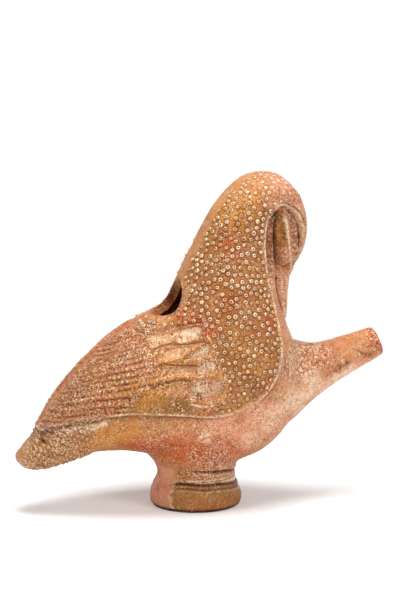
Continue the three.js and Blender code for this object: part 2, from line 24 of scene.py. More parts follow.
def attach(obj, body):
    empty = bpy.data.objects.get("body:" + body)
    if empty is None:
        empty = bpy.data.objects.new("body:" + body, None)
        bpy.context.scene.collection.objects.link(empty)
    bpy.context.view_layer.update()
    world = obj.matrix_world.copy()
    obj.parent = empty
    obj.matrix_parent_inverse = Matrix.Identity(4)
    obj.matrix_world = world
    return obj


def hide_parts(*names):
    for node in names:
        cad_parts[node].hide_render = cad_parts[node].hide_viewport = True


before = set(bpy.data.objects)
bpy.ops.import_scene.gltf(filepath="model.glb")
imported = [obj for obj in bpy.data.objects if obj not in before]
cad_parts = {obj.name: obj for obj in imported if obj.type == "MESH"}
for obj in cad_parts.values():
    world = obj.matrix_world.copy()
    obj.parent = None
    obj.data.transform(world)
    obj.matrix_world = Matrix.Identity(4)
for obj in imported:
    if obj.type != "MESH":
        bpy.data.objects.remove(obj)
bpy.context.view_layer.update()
MM = 0.001
scene = bpy.context.scene

# %% [markdown]
# ## Clay as a mesh
#
# A small object like this is easiest to think about in millimetres, so all clay is shaped in millimetres
# and shrunk to metres at the very end. Every form starts as a bmesh, Blender's workbench for points and
# faces, and becomes an object whose faces point outwards. Modifiers could stay live on the pieces, but each
# one is applied for good at once, so that the next tool works on the real surface.

# %% From the workbench to a piece of clay
FAR = 400  # millimetres: a tool this long reaches past the bird on every side
WELD = 1e-4  # points closer than this become one


def clay_object(name, bm):
    bmesh.ops.recalc_face_normals(bm, faces=bm.faces)
    mesh = bpy.data.meshes.new(name)
    bm.to_mesh(mesh)
    bm.free()
    obj = bpy.data.objects.new(name, mesh)
    scene.collection.objects.link(obj)
    return obj


def finished(obj, kind, **settings):
    """Applies one modifier for good."""
    step = obj.modifiers.new(kind.title(), kind)
    for setting, value in settings.items():
        setattr(step, setting, value)
    bpy.context.view_layer.update()
    graph = bpy.context.evaluated_depsgraph_get()
    mesh = bpy.data.meshes.new_from_object(obj.evaluated_get(graph))
    obj.modifiers.clear()
    before, obj.data = obj.data, mesh
    bpy.data.meshes.remove(before)
    return obj


def shaped(obj, how, tool):
    """UNION joins the tool to the piece, DIFFERENCE cuts it out, INTERSECT keeps what both share."""
    return finished(obj, "BOOLEAN", object=tool, operation=how, solver="MANIFOLD")


def copied(obj, name):
    twin = bpy.data.objects.new(name, obj.data.copy())
    scene.collection.objects.link(twin)
    return twin


def put_away(*tools):
    for tool in tools:
        bpy.data.objects.remove(tool, do_unlink=True)


print("tools reach", FAR, "mm past the bird")

# %% [markdown]
# Three ways of making a form are enough for the whole bird. Where the section changes all along, a skin is
# rolled over rings of points. Where the form is round, a profile is turned on the wheel. Where the side view
# says what to cut, an outline is pressed through, as a cutter goes through dough.


# %% Rolling, turning and pressing
def rolled(name, rings):
    """A closed skin: a grid rolled up so that its rows follow the rings, with both ends filled."""
    rings = np.array(rings, float)
    count, sides = rings.shape[:2]
    bm = bmesh.new()
    bmesh.ops.create_grid(bm, x_segments=count - 1, y_segments=sides, size=1)
    for i, vert in enumerate(bm.verts):
        vert.co = rings[i % count, (i // count) % sides]
    bmesh.ops.remove_doubles(bm, verts=bm.verts, dist=WELD)
    bmesh.ops.holes_fill(bm, edges=[e for e in bm.edges if e.is_boundary], sides=0)
    return clay_object(name, bm)


def turned(name, profile, steps=96):
    """A profile of (radius, height) spun round the Z axis."""
    bm = bmesh.new()
    verts = [bm.verts.new((r, 0, h)) for r, h in profile]
    edges = [bm.edges.new(pair) for pair in zip(verts, verts[1:])]
    spin = dict(axis=(0, 0, 1), cent=(0, 0, 0), angle=math.tau, steps=steps, use_merge=True)
    bmesh.ops.spin(bm, geom=verts + edges, **spin)
    bmesh.ops.remove_doubles(bm, verts=bm.verts, dist=WELD)
    return clay_object(name, bm)


def pressed(name, outline, low=-FAR, high=FAR):
    """A side-view outline pressed through the bird, from one side to the other."""
    bm = bmesh.new()
    face = bm.faces.new([bm.verts.new((x, low, z)) for x, z in outline])
    made = bmesh.ops.extrude_face_region(bm, geom=[face])["geom"]
    ends = [v for v in made if isinstance(v, bmesh.types.BMVert)]
    bmesh.ops.translate(bm, verts=ends, vec=(0, high - low, 0))
    return clay_object(name, bm)


# %% [markdown]
# ## Smooth lines
#
# All outlines are read off the side view as a few points each. A plain chain of straight runs would show, and
# a loose curve would miss the points, so the line used here passes through every point. It also takes the
# distance between the points into account, which keeps it from bulging where two of them lie close together.


# %% Smooth line
STEPS_BETWEEN = 5  # points on the line from one given point to the next


def smooth_line(points, shares=None):
    """Points on the smooth line. Share 2.5 is half-way from the third given point to the fourth."""
    p = np.array(points, float)
    if shares is None:
        shares = np.linspace(0, len(p) - 1, (len(p) - 1) * STEPS_BETWEEN + 1)
    p = np.vstack([2 * p[0] - p[1], p, 2 * p[-1] - p[-2]])
    line = []
    for share in shares:
        i = min(int(share), len(points) - 2)
        f = share - i
        a, b, c, d = p[i : i + 4]
        g, h, k = (math.sqrt(max(np.linalg.norm(e), 1e-9)) for e in (b - a, c - b, d - c))
        leave = ((b - a) / g - (c - a) / (g + h) + (c - b) / h) * h
        reach = ((c - b) / h - (d - b) / (h + k) + (d - c) / k) * h
        bend = -3 * b + 3 * c - 2 * leave - reach
        line.append(b + leave * f + bend * f**2 + (2 * b - 2 * c + leave + reach) * f**3)
    return np.array(line)


print("half-way along a smooth corner:", smooth_line([(0, 0), (10, 0), (10, 10)], [1.0, 1.5])[1].round(2))

# %% [markdown]
# ## The bird's form
#
# On the real bottle this form was pressed into two hollow moulds. It could be sculpted by hand, but one list
# of cross-sections is easier to measure and to change. The list runs from the tail's tip, over the back and
# up the neck, and down again to the brow. Each section has its point on the back, its point on the underside,
# its half-width, its fullness (1 is an ellipse, less is fuller) and the thickness of its wall. Smooth lines
# through the list give as many rings as the skin needs.

# %% Cross-sections
STATIONS = [
    ((-89.0, 29.5), (-89.2, 25.5), 4.5, 1.0, 5),  # the tail's tip
    ((-84.6, 34.0), (-85.5, 22.3), 9.5, 0.95, 5),
    ((-79.5, 40.0), (-77.5, 21.3), 12.5, 0.95, 5),
    ((-74.2, 50.3), (-66.0, 24.0), 16.5, 0.95, 5),
    ((-65.6, 62.2), (-55.0, 27.2), 21.5, 0.95, 5),  # rump
    ((-52.7, 75.7), (-41.0, 28.0), 27.5, 1.0, 5),
    ((-37.8, 88.2), (-26.0, 26.0), 32.0, 1.0, 5),  # back
    ((-24.0, 96.3), (-8.0, 20.5), 34.5, 1.0, 5),
    ((-15.8, 100.8), (12.0, 19.0), 35.5, 1.0, 5),  # filling hole
    ((-11.5, 107.2), (31.0, 23.5), 35.5, 1.0, 5),
    ((-8.4, 113.7), (44.5, 35.0), 34.5, 0.95, 5),  # breast
    ((-4.9, 121.2), (52.5, 50.0), 32.0, 0.9, 5.5),
    ((-1.4, 127.7), (52.5, 68.0), 29.0, 0.85, 6),
    ((1.6, 133.7), (46.2, 86.0), 25.5, 0.8, 7),  # throat
    ((5.1, 139.7), (41.2, 100.0), 22.5, 0.75, 7.5),
    ((9.1, 146.6), (39.0, 114.0), 20.0, 0.7, 8),  # neck
    ((13.5, 152.3), (37.5, 127.0), 18.5, 0.7, 8.5),
    ((20.3, 159.1), (37.5, 137.0), 17.0, 0.7, 9),
    ((30.0, 163.2), (39.0, 144.5), 16.0, 0.65, 9),  # crown
    ((41.0, 162.2), (41.0, 148.0), 14.5, 0.6, 9),
    ((49.0, 155.2), (44.0, 146.0), 13.2, 0.6, 9),
    ((53.2, 146.0), (46.5, 141.5), 12.2, 0.6, 9),  # brow
    ((54.4, 136.0), (47.6, 135.0), 11.0, 0.6, 9),
    ((53.2, 127.2), (47.4, 128.5), 9.5, 0.7, 9),
    ((50.0, 120.3), (46.4, 122.2), 7.8, 0.8, 9),
    ((47.8, 117.2), (46.2, 118.8), 5.0, 1.0, 9),  # the brow's lower end
]
LAST_STATION = len(STATIONS) - 1


def bird_rings(grow, first=0, last=LAST_STATION, count=110, sides=96):
    """Rings from one station to another, grown by an amount, or set in by the wall if it is None."""
    shares = np.linspace(first, last, count)
    backs = smooth_line([s[0] for s in STATIONS], shares)
    unders = smooth_line([s[1] for s in STATIONS], shares)
    breadths = smooth_line([(s[4], s[2], s[3]) for s in STATIONS], shares)
    angle = -math.tau * np.arange(sides) / sides
    rings = []
    for back, under, (wall, half, full) in zip(backs, unders, breadths):
        out = -wall if grow is None else grow
        along = (under - back) / np.linalg.norm(under - back)
        depth = np.linalg.norm(under - back) / 2 + out
        middle = (back + under) / 2
        across = (half + out) * np.sign(np.sin(angle)) * np.abs(np.sin(angle)) ** full
        side = middle - depth * np.cos(angle)[:, None] * along
        rings.append(np.stack([side[:, 0], across, side[:, 1]], 1))
    return rings


lump = rolled("lump", bird_rings(0))
print("bird's form:", len(lump.data.vertices), "points")

# %% [markdown]
# The plumage stands a little proud of the belly, the breast and the throat. The step between them follows a
# rim that runs from the tail along the belly and up the throat into the hood. Pushing points in would smear
# so sharp a step, so everything outside the rim is cut down to a slightly smaller copy of the form.

# %% Step below the plumage
RECESS = 1.5
STEP_TOP = 115  # the step ends at this height, inside the hood
PLUMAGE_RIM = [
    (-54, 51), (-40, 53), (-17, 52.6), (4.7, 50.8), (19.7, 54.4), (31.4, 63.6), (37.3, 77.5),
    (36.4, 92.6), (34.3, 106), (32.3, STEP_TOP),
]  # fmt: skip
rim_line = smooth_line(PLUMAGE_RIM)
pared = pressed("pared", [(-54, -FAR), (FAR, -FAR), (FAR, STEP_TOP), *map(tuple, rim_line[::-1])])
smaller = rolled("smaller", bird_rings(-RECESS))
shaped(pared, "DIFFERENCE", smaller)
shaped(lump, "DIFFERENCE", pared)
put_away(pared, smaller)
print("rim of the plumage:", len(rim_line), "points on the line")

# %% [markdown]
# ## Breast swell, spout and foot collar
#
# The spout was thrown as a plain tapering tube and luted into a swelling of the breast. The tube leans up
# by 22.5 degrees. The foot collar runs from the belly down to the flat joint with the foot. Both are round,
# so one is rolled over round rings and the other is turned, and both join the form while it is one lump.

# %% Spout, swell and collar
SPOUT_LEAN = math.radians(22.5)
SPOUT_JOINT = (68.1, 68.2)
SPOUT_LENGTH = 25.3
SPOUT_SWELL = [  # distance past the joint, radius, lift off the axis
    (-30, 22.3, 3.6), (-22, 18.9, 3.5), (-14, 15.6, 2.6), (-6, 12.1, 0.6), (0, 10.5, 0.1), (12, 8.8, -0.2),
    (22.3, 7.5, -0.3), (24.3, 7.1, -0.3), (25.2, 6.3, -0.3), (SPOUT_LENGTH + 0.2, 5.2, -0.3),
]  # fmt: skip
FOOT_JOINT_Z = 15
FOOT_WAIST = 18.9
COLLAR = [(0, 12), (FOOT_WAIST, 12), (FOOT_WAIST, 17.4), (20.1, 21), (25, 27), (25, 30), (0, 30)]


def along_spout(past, lift=0.0):
    """A side-view point at a distance past the joint, on the spout's axis or off it."""
    x = SPOUT_JOINT[0] + past * math.cos(SPOUT_LEAN) - lift * math.sin(SPOUT_LEAN)
    z = SPOUT_JOINT[1] + past * math.sin(SPOUT_LEAN) + lift * math.cos(SPOUT_LEAN)
    return x, z


def spout_rings(swell, count=60, sides=80):
    angle = math.tau * np.arange(sides) / sides
    rings = []
    for past, radius, lift in smooth_line(swell, np.linspace(0, len(swell) - 1, count)):
        x, z = along_spout(past, lift)
        up = radius * np.cos(angle)
        ring = [x - up * math.sin(SPOUT_LEAN), radius * np.sin(angle), z + up * math.cos(SPOUT_LEAN)]
        rings.append(np.stack(ring, 1))
    return rings


swell_and_spout = rolled("swell_and_spout", spout_rings(SPOUT_SWELL))
collar = turned("collar", COLLAR)
for part in (swell_and_spout, collar):
    shaped(lump, "UNION", part)
put_away(swell_and_spout, collar)
print("the spout's tip is at X and Z", [round(v, 1) for v in along_spout(SPOUT_LENGTH)])

# %% [markdown]
# ## One skin, softened joins
#
# A voxel remesh turns the joined shapes into one even skin, which a boolean join alone doesn't give. Then
# the joins get a smoothing pass that touches nothing else, which does what the potter's wet thumb did.

# %% Fuse
JOIN_VOXEL = 0.8
finished(lump, "REMESH", mode="VOXEL", voxel_size=JOIN_VOXEL)


def points_of(obj):
    co = np.empty(len(obj.data.vertices) * 3)
    obj.data.vertices.foreach_get("co", co)
    return co.reshape(-1, 3)


print("one skin:", len(points_of(lump)), "points")

# %% Wipe the joins
WIPES_BY_FOOT, WIPES_BY_SPOUT = 40, 45


def spout_distance(co):
    """How far each point lies past the spout's joint, along its axis."""
    ahead = (co[:, 0] - SPOUT_JOINT[0]) * math.cos(SPOUT_LEAN)
    return ahead + (co[:, 2] - SPOUT_JOINT[1]) * math.sin(SPOUT_LEAN)


def wiped(obj, where, passes, strength=0.5):
    """Smooths the clay where the mask is true."""
    group = obj.vertex_groups.new(name="wiped")
    group.add([int(i) for i in np.flatnonzero(where)], 1.0, "REPLACE")
    finished(obj, "SMOOTH", vertex_group="wiped", factor=strength, iterations=passes)
    obj.vertex_groups.clear()


co = points_of(lump)
from_axis = np.hypot(co[:, 0], co[:, 1])
by_foot = (co[:, 2] < 33) & (co[:, 2] > 19) & (from_axis < 33)
past = spout_distance(co)
by_spout = (past > -38) & (past < -6) & (co[:, 2] < 92)
by_tail = (np.abs(co[:, 0] + 54) < 6) & (co[:, 2] < 47)
wiped(lump, by_foot | by_tail, WIPES_BY_FOOT)
wiped(lump, by_spout, WIPES_BY_SPOUT)
print("points wiped by foot and tail:", int((by_foot | by_tail).sum()), "by the spout:", int(by_spout.sum()))

# %% [markdown]
# ## Face hollows and filling hole
#
# On either side of the face the clay was scooped out deeply, which leaves a narrow core and makes the brow
# stand over the face like a hood. The filling hole was cut through the top of the back with a knife
# while the clay was leather-hard. Both are cuts on the real bottle, so both are boolean cuts here.

# %% Hollows and hole
HOLLOW_EDGE = [
    (34.1, 106), (39, 103), (46, 106), (47.2, 121), (49.2, 127.5), (49.6, 134), (47.3, 140),
    (44.2, 144.8), (40.3, 147.2), (36.3, 146.8), (33.2, 143.5), (31.3, 137), (31.1, 127), (32.1, 115),
]  # fmt: skip
CORE_HALF = [(101, 18.5), (111, 15.8), (118, 12.6), (124, 10.6), (160, 10.3)]  # height, half-width
HOLE_CENTRE = (-15.7, 105)
HOLE_RADIUS, HOLE_DEPTH = 11, 33
HOLE_BREADTH = 1.15  # the hole is this much wider across the back than along it
KNIFE_LEAN = math.radians(-45)

hollow_line = smooth_line(HOLLOW_EDGE + HOLLOW_EDGE[:1])[:-1]
hollows = pressed("hollows", hollow_line)
right_side = [(half, z) for z, half in CORE_HALF]
left_side = [(-half, z) for z, half in CORE_HALF[::-1]]
core = pressed("core", right_side + left_side)
core.data.transform(Matrix.Rotation(math.radians(90), 4, "Z"))
shaped(hollows, "DIFFERENCE", core)
shaped(lump, "DIFFERENCE", hollows)

hole_profile = [(0, -HOLE_RADIUS), (HOLE_RADIUS, -HOLE_RADIUS), (HOLE_RADIUS, HOLE_DEPTH), (0, HOLE_DEPTH)]
knife = turned("knife", hole_profile)
lean_back = Matrix.Rotation(KNIFE_LEAN, 4, "Y")
to_hole = Matrix.Translation((HOLE_CENTRE[0], 0, HOLE_CENTRE[1]))
knife.data.transform(to_hole @ lean_back @ Matrix.Diagonal((1, HOLE_BREADTH, 1, 1)))
shaped(lump, "DIFFERENCE", knife)
put_away(core, knife)
print("hole:", 2 * HOLE_RADIUS, "mm across, hollows:", len(hollow_line), "points round the edge")

# %% [markdown]
# The next remesh is finer, because the tooling needs points closer together than its thinnest lines. It also
# rounds the knife's edges a little, so the hood and the hole are wiped once more.

# %% A fine skin
SKIN_VOXEL = 0.5
WIPES_BY_HOOD = 7


def fine_skin(obj, voxel):
    """Even, fine points all over, with the cut edges of the hood and the hole rounded."""
    finished(obj, "REMESH", mode="VOXEL", voxel_size=voxel)
    finished(obj, "SMOOTH", factor=0.5, iterations=3)
    co = points_of(obj)
    by_hood = (co[:, 2] > 100) & (co[:, 0] > 27)
    by_hole = np.hypot(co[:, 0] - HOLE_CENTRE[0], co[:, 2] - HOLE_CENTRE[1]) < 20
    wiped(obj, by_hood | by_hole, WIPES_BY_HOOD)
    print(obj.name, "fine skin:", len(obj.data.vertices), "points")


plain_lump = copied(lump, "plain_lump")
fine_skin(lump, SKIN_VOXEL)

# %% [markdown]
# ## Drawing on the side of the bird
#
# Feathers, pockets and rims are drawn in side view, as on the mould, and pushed into the skin or raised out
# of it. They could be sculpted stroke by stroke, but a drawing in numbers can be corrected line by line.
# Three measures are enough: how near a point is to a drawn line, how far inside an outline it is, and
# a soft ramp between two values.


# %% Drawing tools
def ramp(value, start, end):
    """0 at the start, 1 at the end and beyond, with a soft run between; the end may lie below the start."""
    t = np.clip((value - start) / (end - start), 0, 1)
    return t * t * (3 - 2 * t)


def stroke(distance, width):
    """A soft brush stroke: 1 on the line, fading over about the width on either side."""
    return np.exp(-((distance / width) ** 2))


def off_line(xz, line, reach=8.0):
    """Distance from each side-view point to a drawn line; points out of reach keep the reach."""
    low, high = line.min(0) - reach, line.max(0) + reach
    near = np.flatnonzero(((xz > low) & (xz < high)).all(1))
    p = xz[near]
    best = np.full(len(p), reach)
    for a, b in zip(line, line[1:]):
        run = b - a
        t = np.clip(((p - a) @ run) / (run @ run), 0, 1)
        best = np.minimum(best, np.hypot(*(p - a - t[:, None] * run).T))
    distance = np.full(len(xz), reach)
    distance[near] = best
    return distance


def inside(xz, outline):
    """True for side-view points inside the outline: a ray from them crosses it an odd number of times."""
    x, z = xz.T
    within = np.zeros(len(xz), bool)
    for (ax, az), (bx, bz) in zip(outline, np.roll(outline, -1, 0)):
        if az != bz:
            crosses = (az > z) != (bz > z)
            within ^= crosses & (x < (bx - ax) * (z - az) / (bz - az) + ax)
    return within


def depth_in(xz, outline, reach=8.0):
    """How far inside a closed outline each point lies; outside it the measure is negative."""
    distance = off_line(xz, np.vstack([outline, outline[:1]]), reach)
    return np.where(inside(xz, outline), distance, -distance)


def grain(co, size, seed):
    """Soft irregularity from -1 to 1, with lumps of about the given size in millimetres."""
    shift = Vector((seed * 17.3, seed * 5.1, seed * 9.7))
    return np.array([noise.noise(Vector(p) / size + shift) for p in co])


# %% [markdown]
# ## The drawing
#
# The plumage ends in a raised rim that runs from the tail along the belly and up the throat into the hood.
# The wing is a plate of its own, bedded on the shoulder, and the tail is luted on below its tip. These are
# their edges in side view. The same edges serve three times: for the relief, for the cuts and for the paint.

# %% Edges of plumage, wing and tail
TAIL_JOINT = [
    (-54, 41), (-51.5, 47), (-53, 50.5), (-60.5, 49.8), (-69.4, 46.6), (-76.1, 43.4), (-79.5, 41),
]  # fmt: skip
WING_TOP = [(-86, 60), (-60, 84), (-38, 92), (-25.3, 91.7), (-14.2, 93.6), (-2.8, 97)]
WING_FRONT = [(-0.1, 91.7), (2.2, 84.9), (4.7, 77.5), (8.6, 68), (5.5, 58.6), (-3, 51.4)]
WING_FOOT = [(-17, 52.6), (-40, 53), (-54, 48), (-80, 38)]
RIDGE_HALF = 4.6  # the wings stop this far from the middle of the back
WING_BED = 1.7
WING_PROUD = 0.5
REAR_POINTS = 22  # the last points of the hollow's line, which follow its rear edge

wing_outline = np.vstack([smooth_line(part[::-1]) for part in (WING_TOP, WING_FOOT, WING_FRONT)])
tail_outline = [(-FAR, TAIL_JOINT[-1][1]), (-FAR, -FAR), (TAIL_JOINT[0][0], -FAR), *TAIL_JOINT]
lower_line = np.vstack([smooth_line(TAIL_JOINT[:1:-1]), rim_line[1:]])
above_rim = np.vstack([lower_line, [(FAR, STEP_TOP), (FAR, FAR), (-FAR, FAR), (-FAR, 41)]])
hollow_rear = hollow_line[-REAR_POINTS:]
print("wing:", len(wing_outline), "points, lower edge of the plumage:", len(lower_line), "points")

# %% [markdown]
# ## Relief of the plumage's rim
#
# Every drawn thing becomes a height in millimetres. The heights are summed first and applied at the end,
# along the surface's own direction. The same drawing also says how chalky, how dark and how ochre each spot
# is, because lime sits on what stands up, and dirt and painted shade in what lies deep. The paint uses that
# later on.
#
# A line of relief reads like this: where it applies, times how high it stands, times a stroke that says how
# far off the drawn edge it runs and how broad it is, all in millimetres. Paints run from 0 to 2, which is
# thick.


# %% Rim of the plumage and lip of the hood
PAINTS = ("lime_and_painted_light", "veins", "dirt_and_shade", "ochre", "gold", "pink", "red", "smooth")


def rim_relief(xz, x, z, work):
    """The raised rim of the plumage: crisp along wing and throat, soft in front of the wing."""
    in_hollow = inside(xz, hollow_line)
    above = depth_in(xz, above_rim, 6.0)
    outside = ~in_hollow & (z < 118)
    soft = ramp(x, 2, 14) * ramp(x, 32, 20)
    throat = ramp(x, 20, 33) * ramp(z, 60, 72)
    crisp = outside * (1 - soft)
    work["height"] += crisp * (0.3 + 0.5 * throat) * stroke(above - 0.7, 0.7)
    work["height"] += outside * soft * 0.35 * stroke(above - 1.5, 1.4)
    work["height"] -= crisp * (1 - throat) * 0.35 * stroke(above + 0.9, 0.6)
    # dirt and painted shade in the groove under the rim
    work["dirt_and_shade"] += crisp * (1 - throat) * 0.6 * stroke(above + 0.9, 0.6)
    # an olive band of painted shade below the step
    work["ochre"] += outside * (1 - throat) * 0.9 * stroke(above + 2, 1.6)
    crisp_chalk = crisp * (0.9 + 0.7 * ramp(x, -30, 0)) * stroke(above - 0.5, 0.6)
    soft_chalk = outside * soft * 0.5 * stroke(above - 1.4, 1.3)
    work["lime_and_painted_light"] += crisp_chalk + soft_chalk


def lip_relief(xz, x, z, work):
    """The thin lip behind the hollow, and the smooth band of the hood in front of it."""
    in_hollow = inside(xz, hollow_line)
    beside = off_line(xz, hollow_rear, 5.0)
    lip = ~in_hollow * (x < 36)
    work["height"] += lip * 0.55 * stroke(beside - 0.7, 0.7)
    work["lime_and_painted_light"] += lip * 1.8 * stroke(beside - 0.3, 0.55)
    band = (depth_in(xz, hollow_line, 6.0) > -4.5) & ~in_hollow & (x > 36) & (z > 116)
    work["smooth"] += band
    work["ochre"] += 0.4 * band
    work["lime_and_painted_light"] += 0.55 * band


# %% [markdown]
# ## Relief of the wing
#
# The long feathers are ridges that run along the wing, each hatched with fine barbs that slant one way on one
# feather and the other way on the next. Eight guide lines say how the feathers run. Between two guides the
# count of feathers goes up evenly, so one wave on that count draws them all.

# %% Feathers
FEATHER_GUIDES = [
    [(-69, 52.2), (-51.5, 56.2), (-28, 57.6)],
    [(-67.5, 56.9), (-55.6, 60.9), (-35.5, 65.5)],
    [(-62.9, 61.9), (-53.1, 65.5), (-30.7, 70.6)],
    [(-59.8, 66), (-50.4, 69.9), (-28, 75.9)],
    [(-56.2, 70.5), (-45.4, 75.4), (-32, 79.6)],
    [(-52.5, 74.5), (-42.7, 79.2), (-31.5, 82.8)],
    [(-48.5, 78.5), (-39.9, 82.6), (-28.7, 86.5)],
    [(-44.5, 82.2), (-34.8, 87), (-26, 89)],
]
FEATHERS_PER_GUIDE = 1.6
ABOVE_GUIDES, BELOW_GUIDES = 2.3, 3.5  # breadth of a guide's share past the last guide and the first
FEATHER_FRONT = [  # height, X at which the feathers end there
    (52, -38), (58, -38), (62, -33), (66, -28), (70, -27), (76, -25), (80, -26), (84, -29), (90, -26),
]  # fmt: skip
BARB = 2.3  # millimetres from one barb to the next


def feather_count(xz):
    """Which feather a point lies on, counted from the lowest guide line, with shares in between."""
    x, z = xz.T
    heights = []
    for guide in FEATHER_GUIDES:
        gx, gz = np.array(guide).T
        height = np.interp(x, gx, gz)
        first = (gz[1] - gz[0]) / (gx[1] - gx[0])
        last = (gz[-1] - gz[-2]) / (gx[-1] - gx[-2])
        height += np.minimum(x - gx[0], 0) * first + np.maximum(x - gx[-1], 0) * last
        heights.append(height)
    count = np.zeros(len(x))
    for low, high in zip(heights, heights[1:]):
        count += np.clip((z - low) / np.maximum(high - low, 0.5), 0, 1)
    count += np.maximum(z - heights[-1], 0) / ABOVE_GUIDES
    count -= np.maximum(heights[0] - z, 0) / BELOW_GUIDES
    return count * FEATHERS_PER_GUIDE


def feather_relief(co, xz, x, side, z, in_wing, work):
    """Long feathers: ridges along the wing, with slanting barbs on them."""
    count = feather_count(xz)
    front = np.interp(z, *np.array(FEATHER_FRONT).T)
    field = ramp(in_wing, 0.4, 1.6) * ramp(x, front + 4, front - 5) * (z > 40)
    field *= ramp(side, 1.2, 2.6)
    from_groove = np.abs(count - np.round(count))
    slant = np.where(np.round(count - 0.5) % 2 > 0, 1.0, -1.0)
    across = count - np.floor(count)
    wander = 0.4 * np.sin(z * 0.7), 0.5 * np.sin(x * 0.19)
    barb = np.sin(math.tau * (x / BARB + slant * 0.7 * across + wander[0] + wander[1]))
    worn = np.clip(0.5 + 0.9 * grain(co, 6, 21), 0, 1)
    work["height"] += field * (0.4 + 0.6 * worn) * (0.65 * ramp(from_groove, 0.02, 0.28) - 0.3)
    work["height"] += field * 0.16 * barb * ramp(from_groove, 0.05, 0.2)
    # dirt and painted shade in the grooves between the feathers and between the barbs
    work["dirt_and_shade"] += field * (0.7 + 0.5 * worn) * stroke(from_groove, 0.12)
    work["dirt_and_shade"] += field * 0.35 * ramp(barb, -0.2, -1) * ramp(from_groove, 0.1, 0.3)
    work["red"] += field * 0.8 * stroke(from_groove, 0.22)
    work["lime_and_painted_light"] += field * 0.7 * worn * ramp(from_groove, 0.18, 0.4) * (0.6 + 0.5 * barb)
    work["ochre"] += field * 0.4


# %% [markdown]
# In front of the long feathers lie four coverts. Each is a row of pockets, pressed in with a finger or a
# tool, with a groove above it and a ridge between it and the next. Pockets are closed outlines, grooves and
# ridges are open lines.

# %% Coverts
# outline of each pocket, how deep it is, and how chalky
POCKETS = [
    ([(-16, 91.6), (-10, 93.2), (-5, 94.4), (-2.6, 94), (-3, 91.3), (-6.2, 88.6), (-14.6, 86.8)], 1.1, 0.9),
    ([(-28, 89.4), (-18, 90.6), (-14.9, 89.6), (-17.8, 86.3), (-27, 84.4)], 0.6, 0.3),
    ([(0.2, 86.2), (1, 84.9), (-0.2, 82.9), (-3.6, 80.9), (-13, 79.2), (-8, 82.2), (-3.6, 86)], 1.1, 0.8),
    ([(-21, 83.6), (-14, 85), (-8.5, 85.3), (-10.5, 82), (-15.4, 79.6), (-22.2, 80)], 0.9, 0.3),
    ([(-6.4, 75.6), (-1.5, 78.4), (1.9, 78.4), (3.2, 76.6), (2.2, 74.3), (-1.8, 72.9), (-6, 73)], 1.2, 1.0),
    ([(-23, 75.8), (-8, 75.4), (-7.8, 73.2), (-18, 72.4), (-25, 71.2)], 0.8, 0.25),
    ([
        (-9.5, 68.4), (-4, 69.8), (2, 70), (5.6, 68.5), (6.6, 66.3), (5.2, 62.9), (-4.6, 61.4), (-9.4, 63.5),
    ], 1.7, 0.35),
    ([(-22, 67.6), (-11.8, 68.6), (-11.2, 64.2), (-22, 64.2)], 0.5, 0.1),
]  # fmt: skip
GROOVES = [
    [(-32.4, 90.6), (-23.3, 91.1), (-16.5, 92.7), (-12, 93.9), (-6.6, 95.8), (-2.8, 96.5)],
    [(-27.6, 82.2), (-24.2, 84.2), (-19.9, 85.8), (-14, 85.9), (-8.6, 86.5), (-4, 87.5), (-0.4, 87.2)],
    [(-26, 75.6), (-21.9, 77.3), (-16.4, 76.8), (-11.3, 76.8), (-6.2, 76.5)],
    [(-28, 66.6), (-22.5, 69), (-18.3, 69.7), (-13.5, 70.5), (-9.9, 69.6)],
]
RIDGES = [
    [(-11.7, 93.1), (-13.9, 89.7), (-17.2, 85.9)],
    [(-2.8, 86.3), (-8, 83.3), (-14, 79.6)],
    [(-26, 76.9), (-23.2, 78.3), (-16.2, 78.7), (-9.3, 78.7), (-2.3, 80.3), (2.4, 82.6)],
    [(-28.5, 68.9), (-23.8, 70.2), (-18.2, 71.2), (-12.1, 71.5), (-5.1, 71.5), (0.6, 72), (4.6, 74.5)],
    [
        (-10, 70.4), (-4, 71.4), (2, 71.8), (6.9, 70), (8.9, 66.5), (7.3, 61.8), (1.5, 58.9),
        (-5, 59.1), (-10.5, 61.6),
    ],
    [(-2.2, 97), (-0.6, 94.6), (-2.2, 90.4), (-5.6, 87.6)],
    [(0.4, 88), (2.6, 85.2), (1.2, 82)],
]  # fmt: skip
CHALK_LINE = [(-9.6, 58.3), (-4.3, 57.2), (1, 57.4)]

pocket_lines = [smooth_line(line + line[:1])[:-1] for line, _, _ in POCKETS]
groove_lines = [smooth_line(line) for line in GROOVES]
ridge_lines = [smooth_line(line) for line in RIDGES]
chalk_line = smooth_line(CHALK_LINE)
print(len(POCKETS), "pockets,", len(GROOVES), "grooves and", len(RIDGES), "ridges")


def covert_relief(xz, x, z, in_wing, work):
    """Coverts: pockets, the grooves above them and the ridges between them."""
    for (_, depth, chalky), outline in zip(POCKETS, pocket_lines):
        within = depth_in(xz, outline, 5.0)
        work["height"] -= depth * ramp(within, -0.3, 0.9)
        # dirt and painted shade round the pocket's edge
        work["dirt_and_shade"] += 0.35 * chalky * stroke(within + 0.1, 0.4)
        work["lime_and_painted_light"] += 1.7 * chalky * ramp(within, 0.1, 0.7)
        work["smooth"] += 0.3 * ramp(within, 0.2, 1.2)
    for line in groove_lines:
        near = stroke(off_line(xz, line, 4.0), 0.45)
        work["height"] -= 0.9 * near
        # dirt and painted shade in the groove
        work["dirt_and_shade"] += 0.5 * near
    for line in ridge_lines:
        near = stroke(off_line(xz, line, 4.0), 0.85)
        work["height"] += 0.9 * near
        work["gold"] += 1.0 * near
        work["lime_and_painted_light"] -= 1.2 * near
    near = stroke(off_line(xz, chalk_line, 4.0), 0.6)
    work["height"] += 0.25 * near
    work["lime_and_painted_light"] += 1.4 * near
    plain = ramp(in_wing, 0, 1.5) * ramp(x, -44, -36) * ramp(x, -5, -14) * ramp(z, 64, 60)
    work["ochre"] += 1.8 * plain
    work["dirt_and_shade"] += 0.25 * plain


# %% [markdown]
# ## Relief of tail, brow, collar and spout
#
# The tail is hatched along its length and has a small pit near its tip. A firing crack runs over the brow, a
# groove wanders round the collar above the foot, and a chip is missing from the side of the spout.

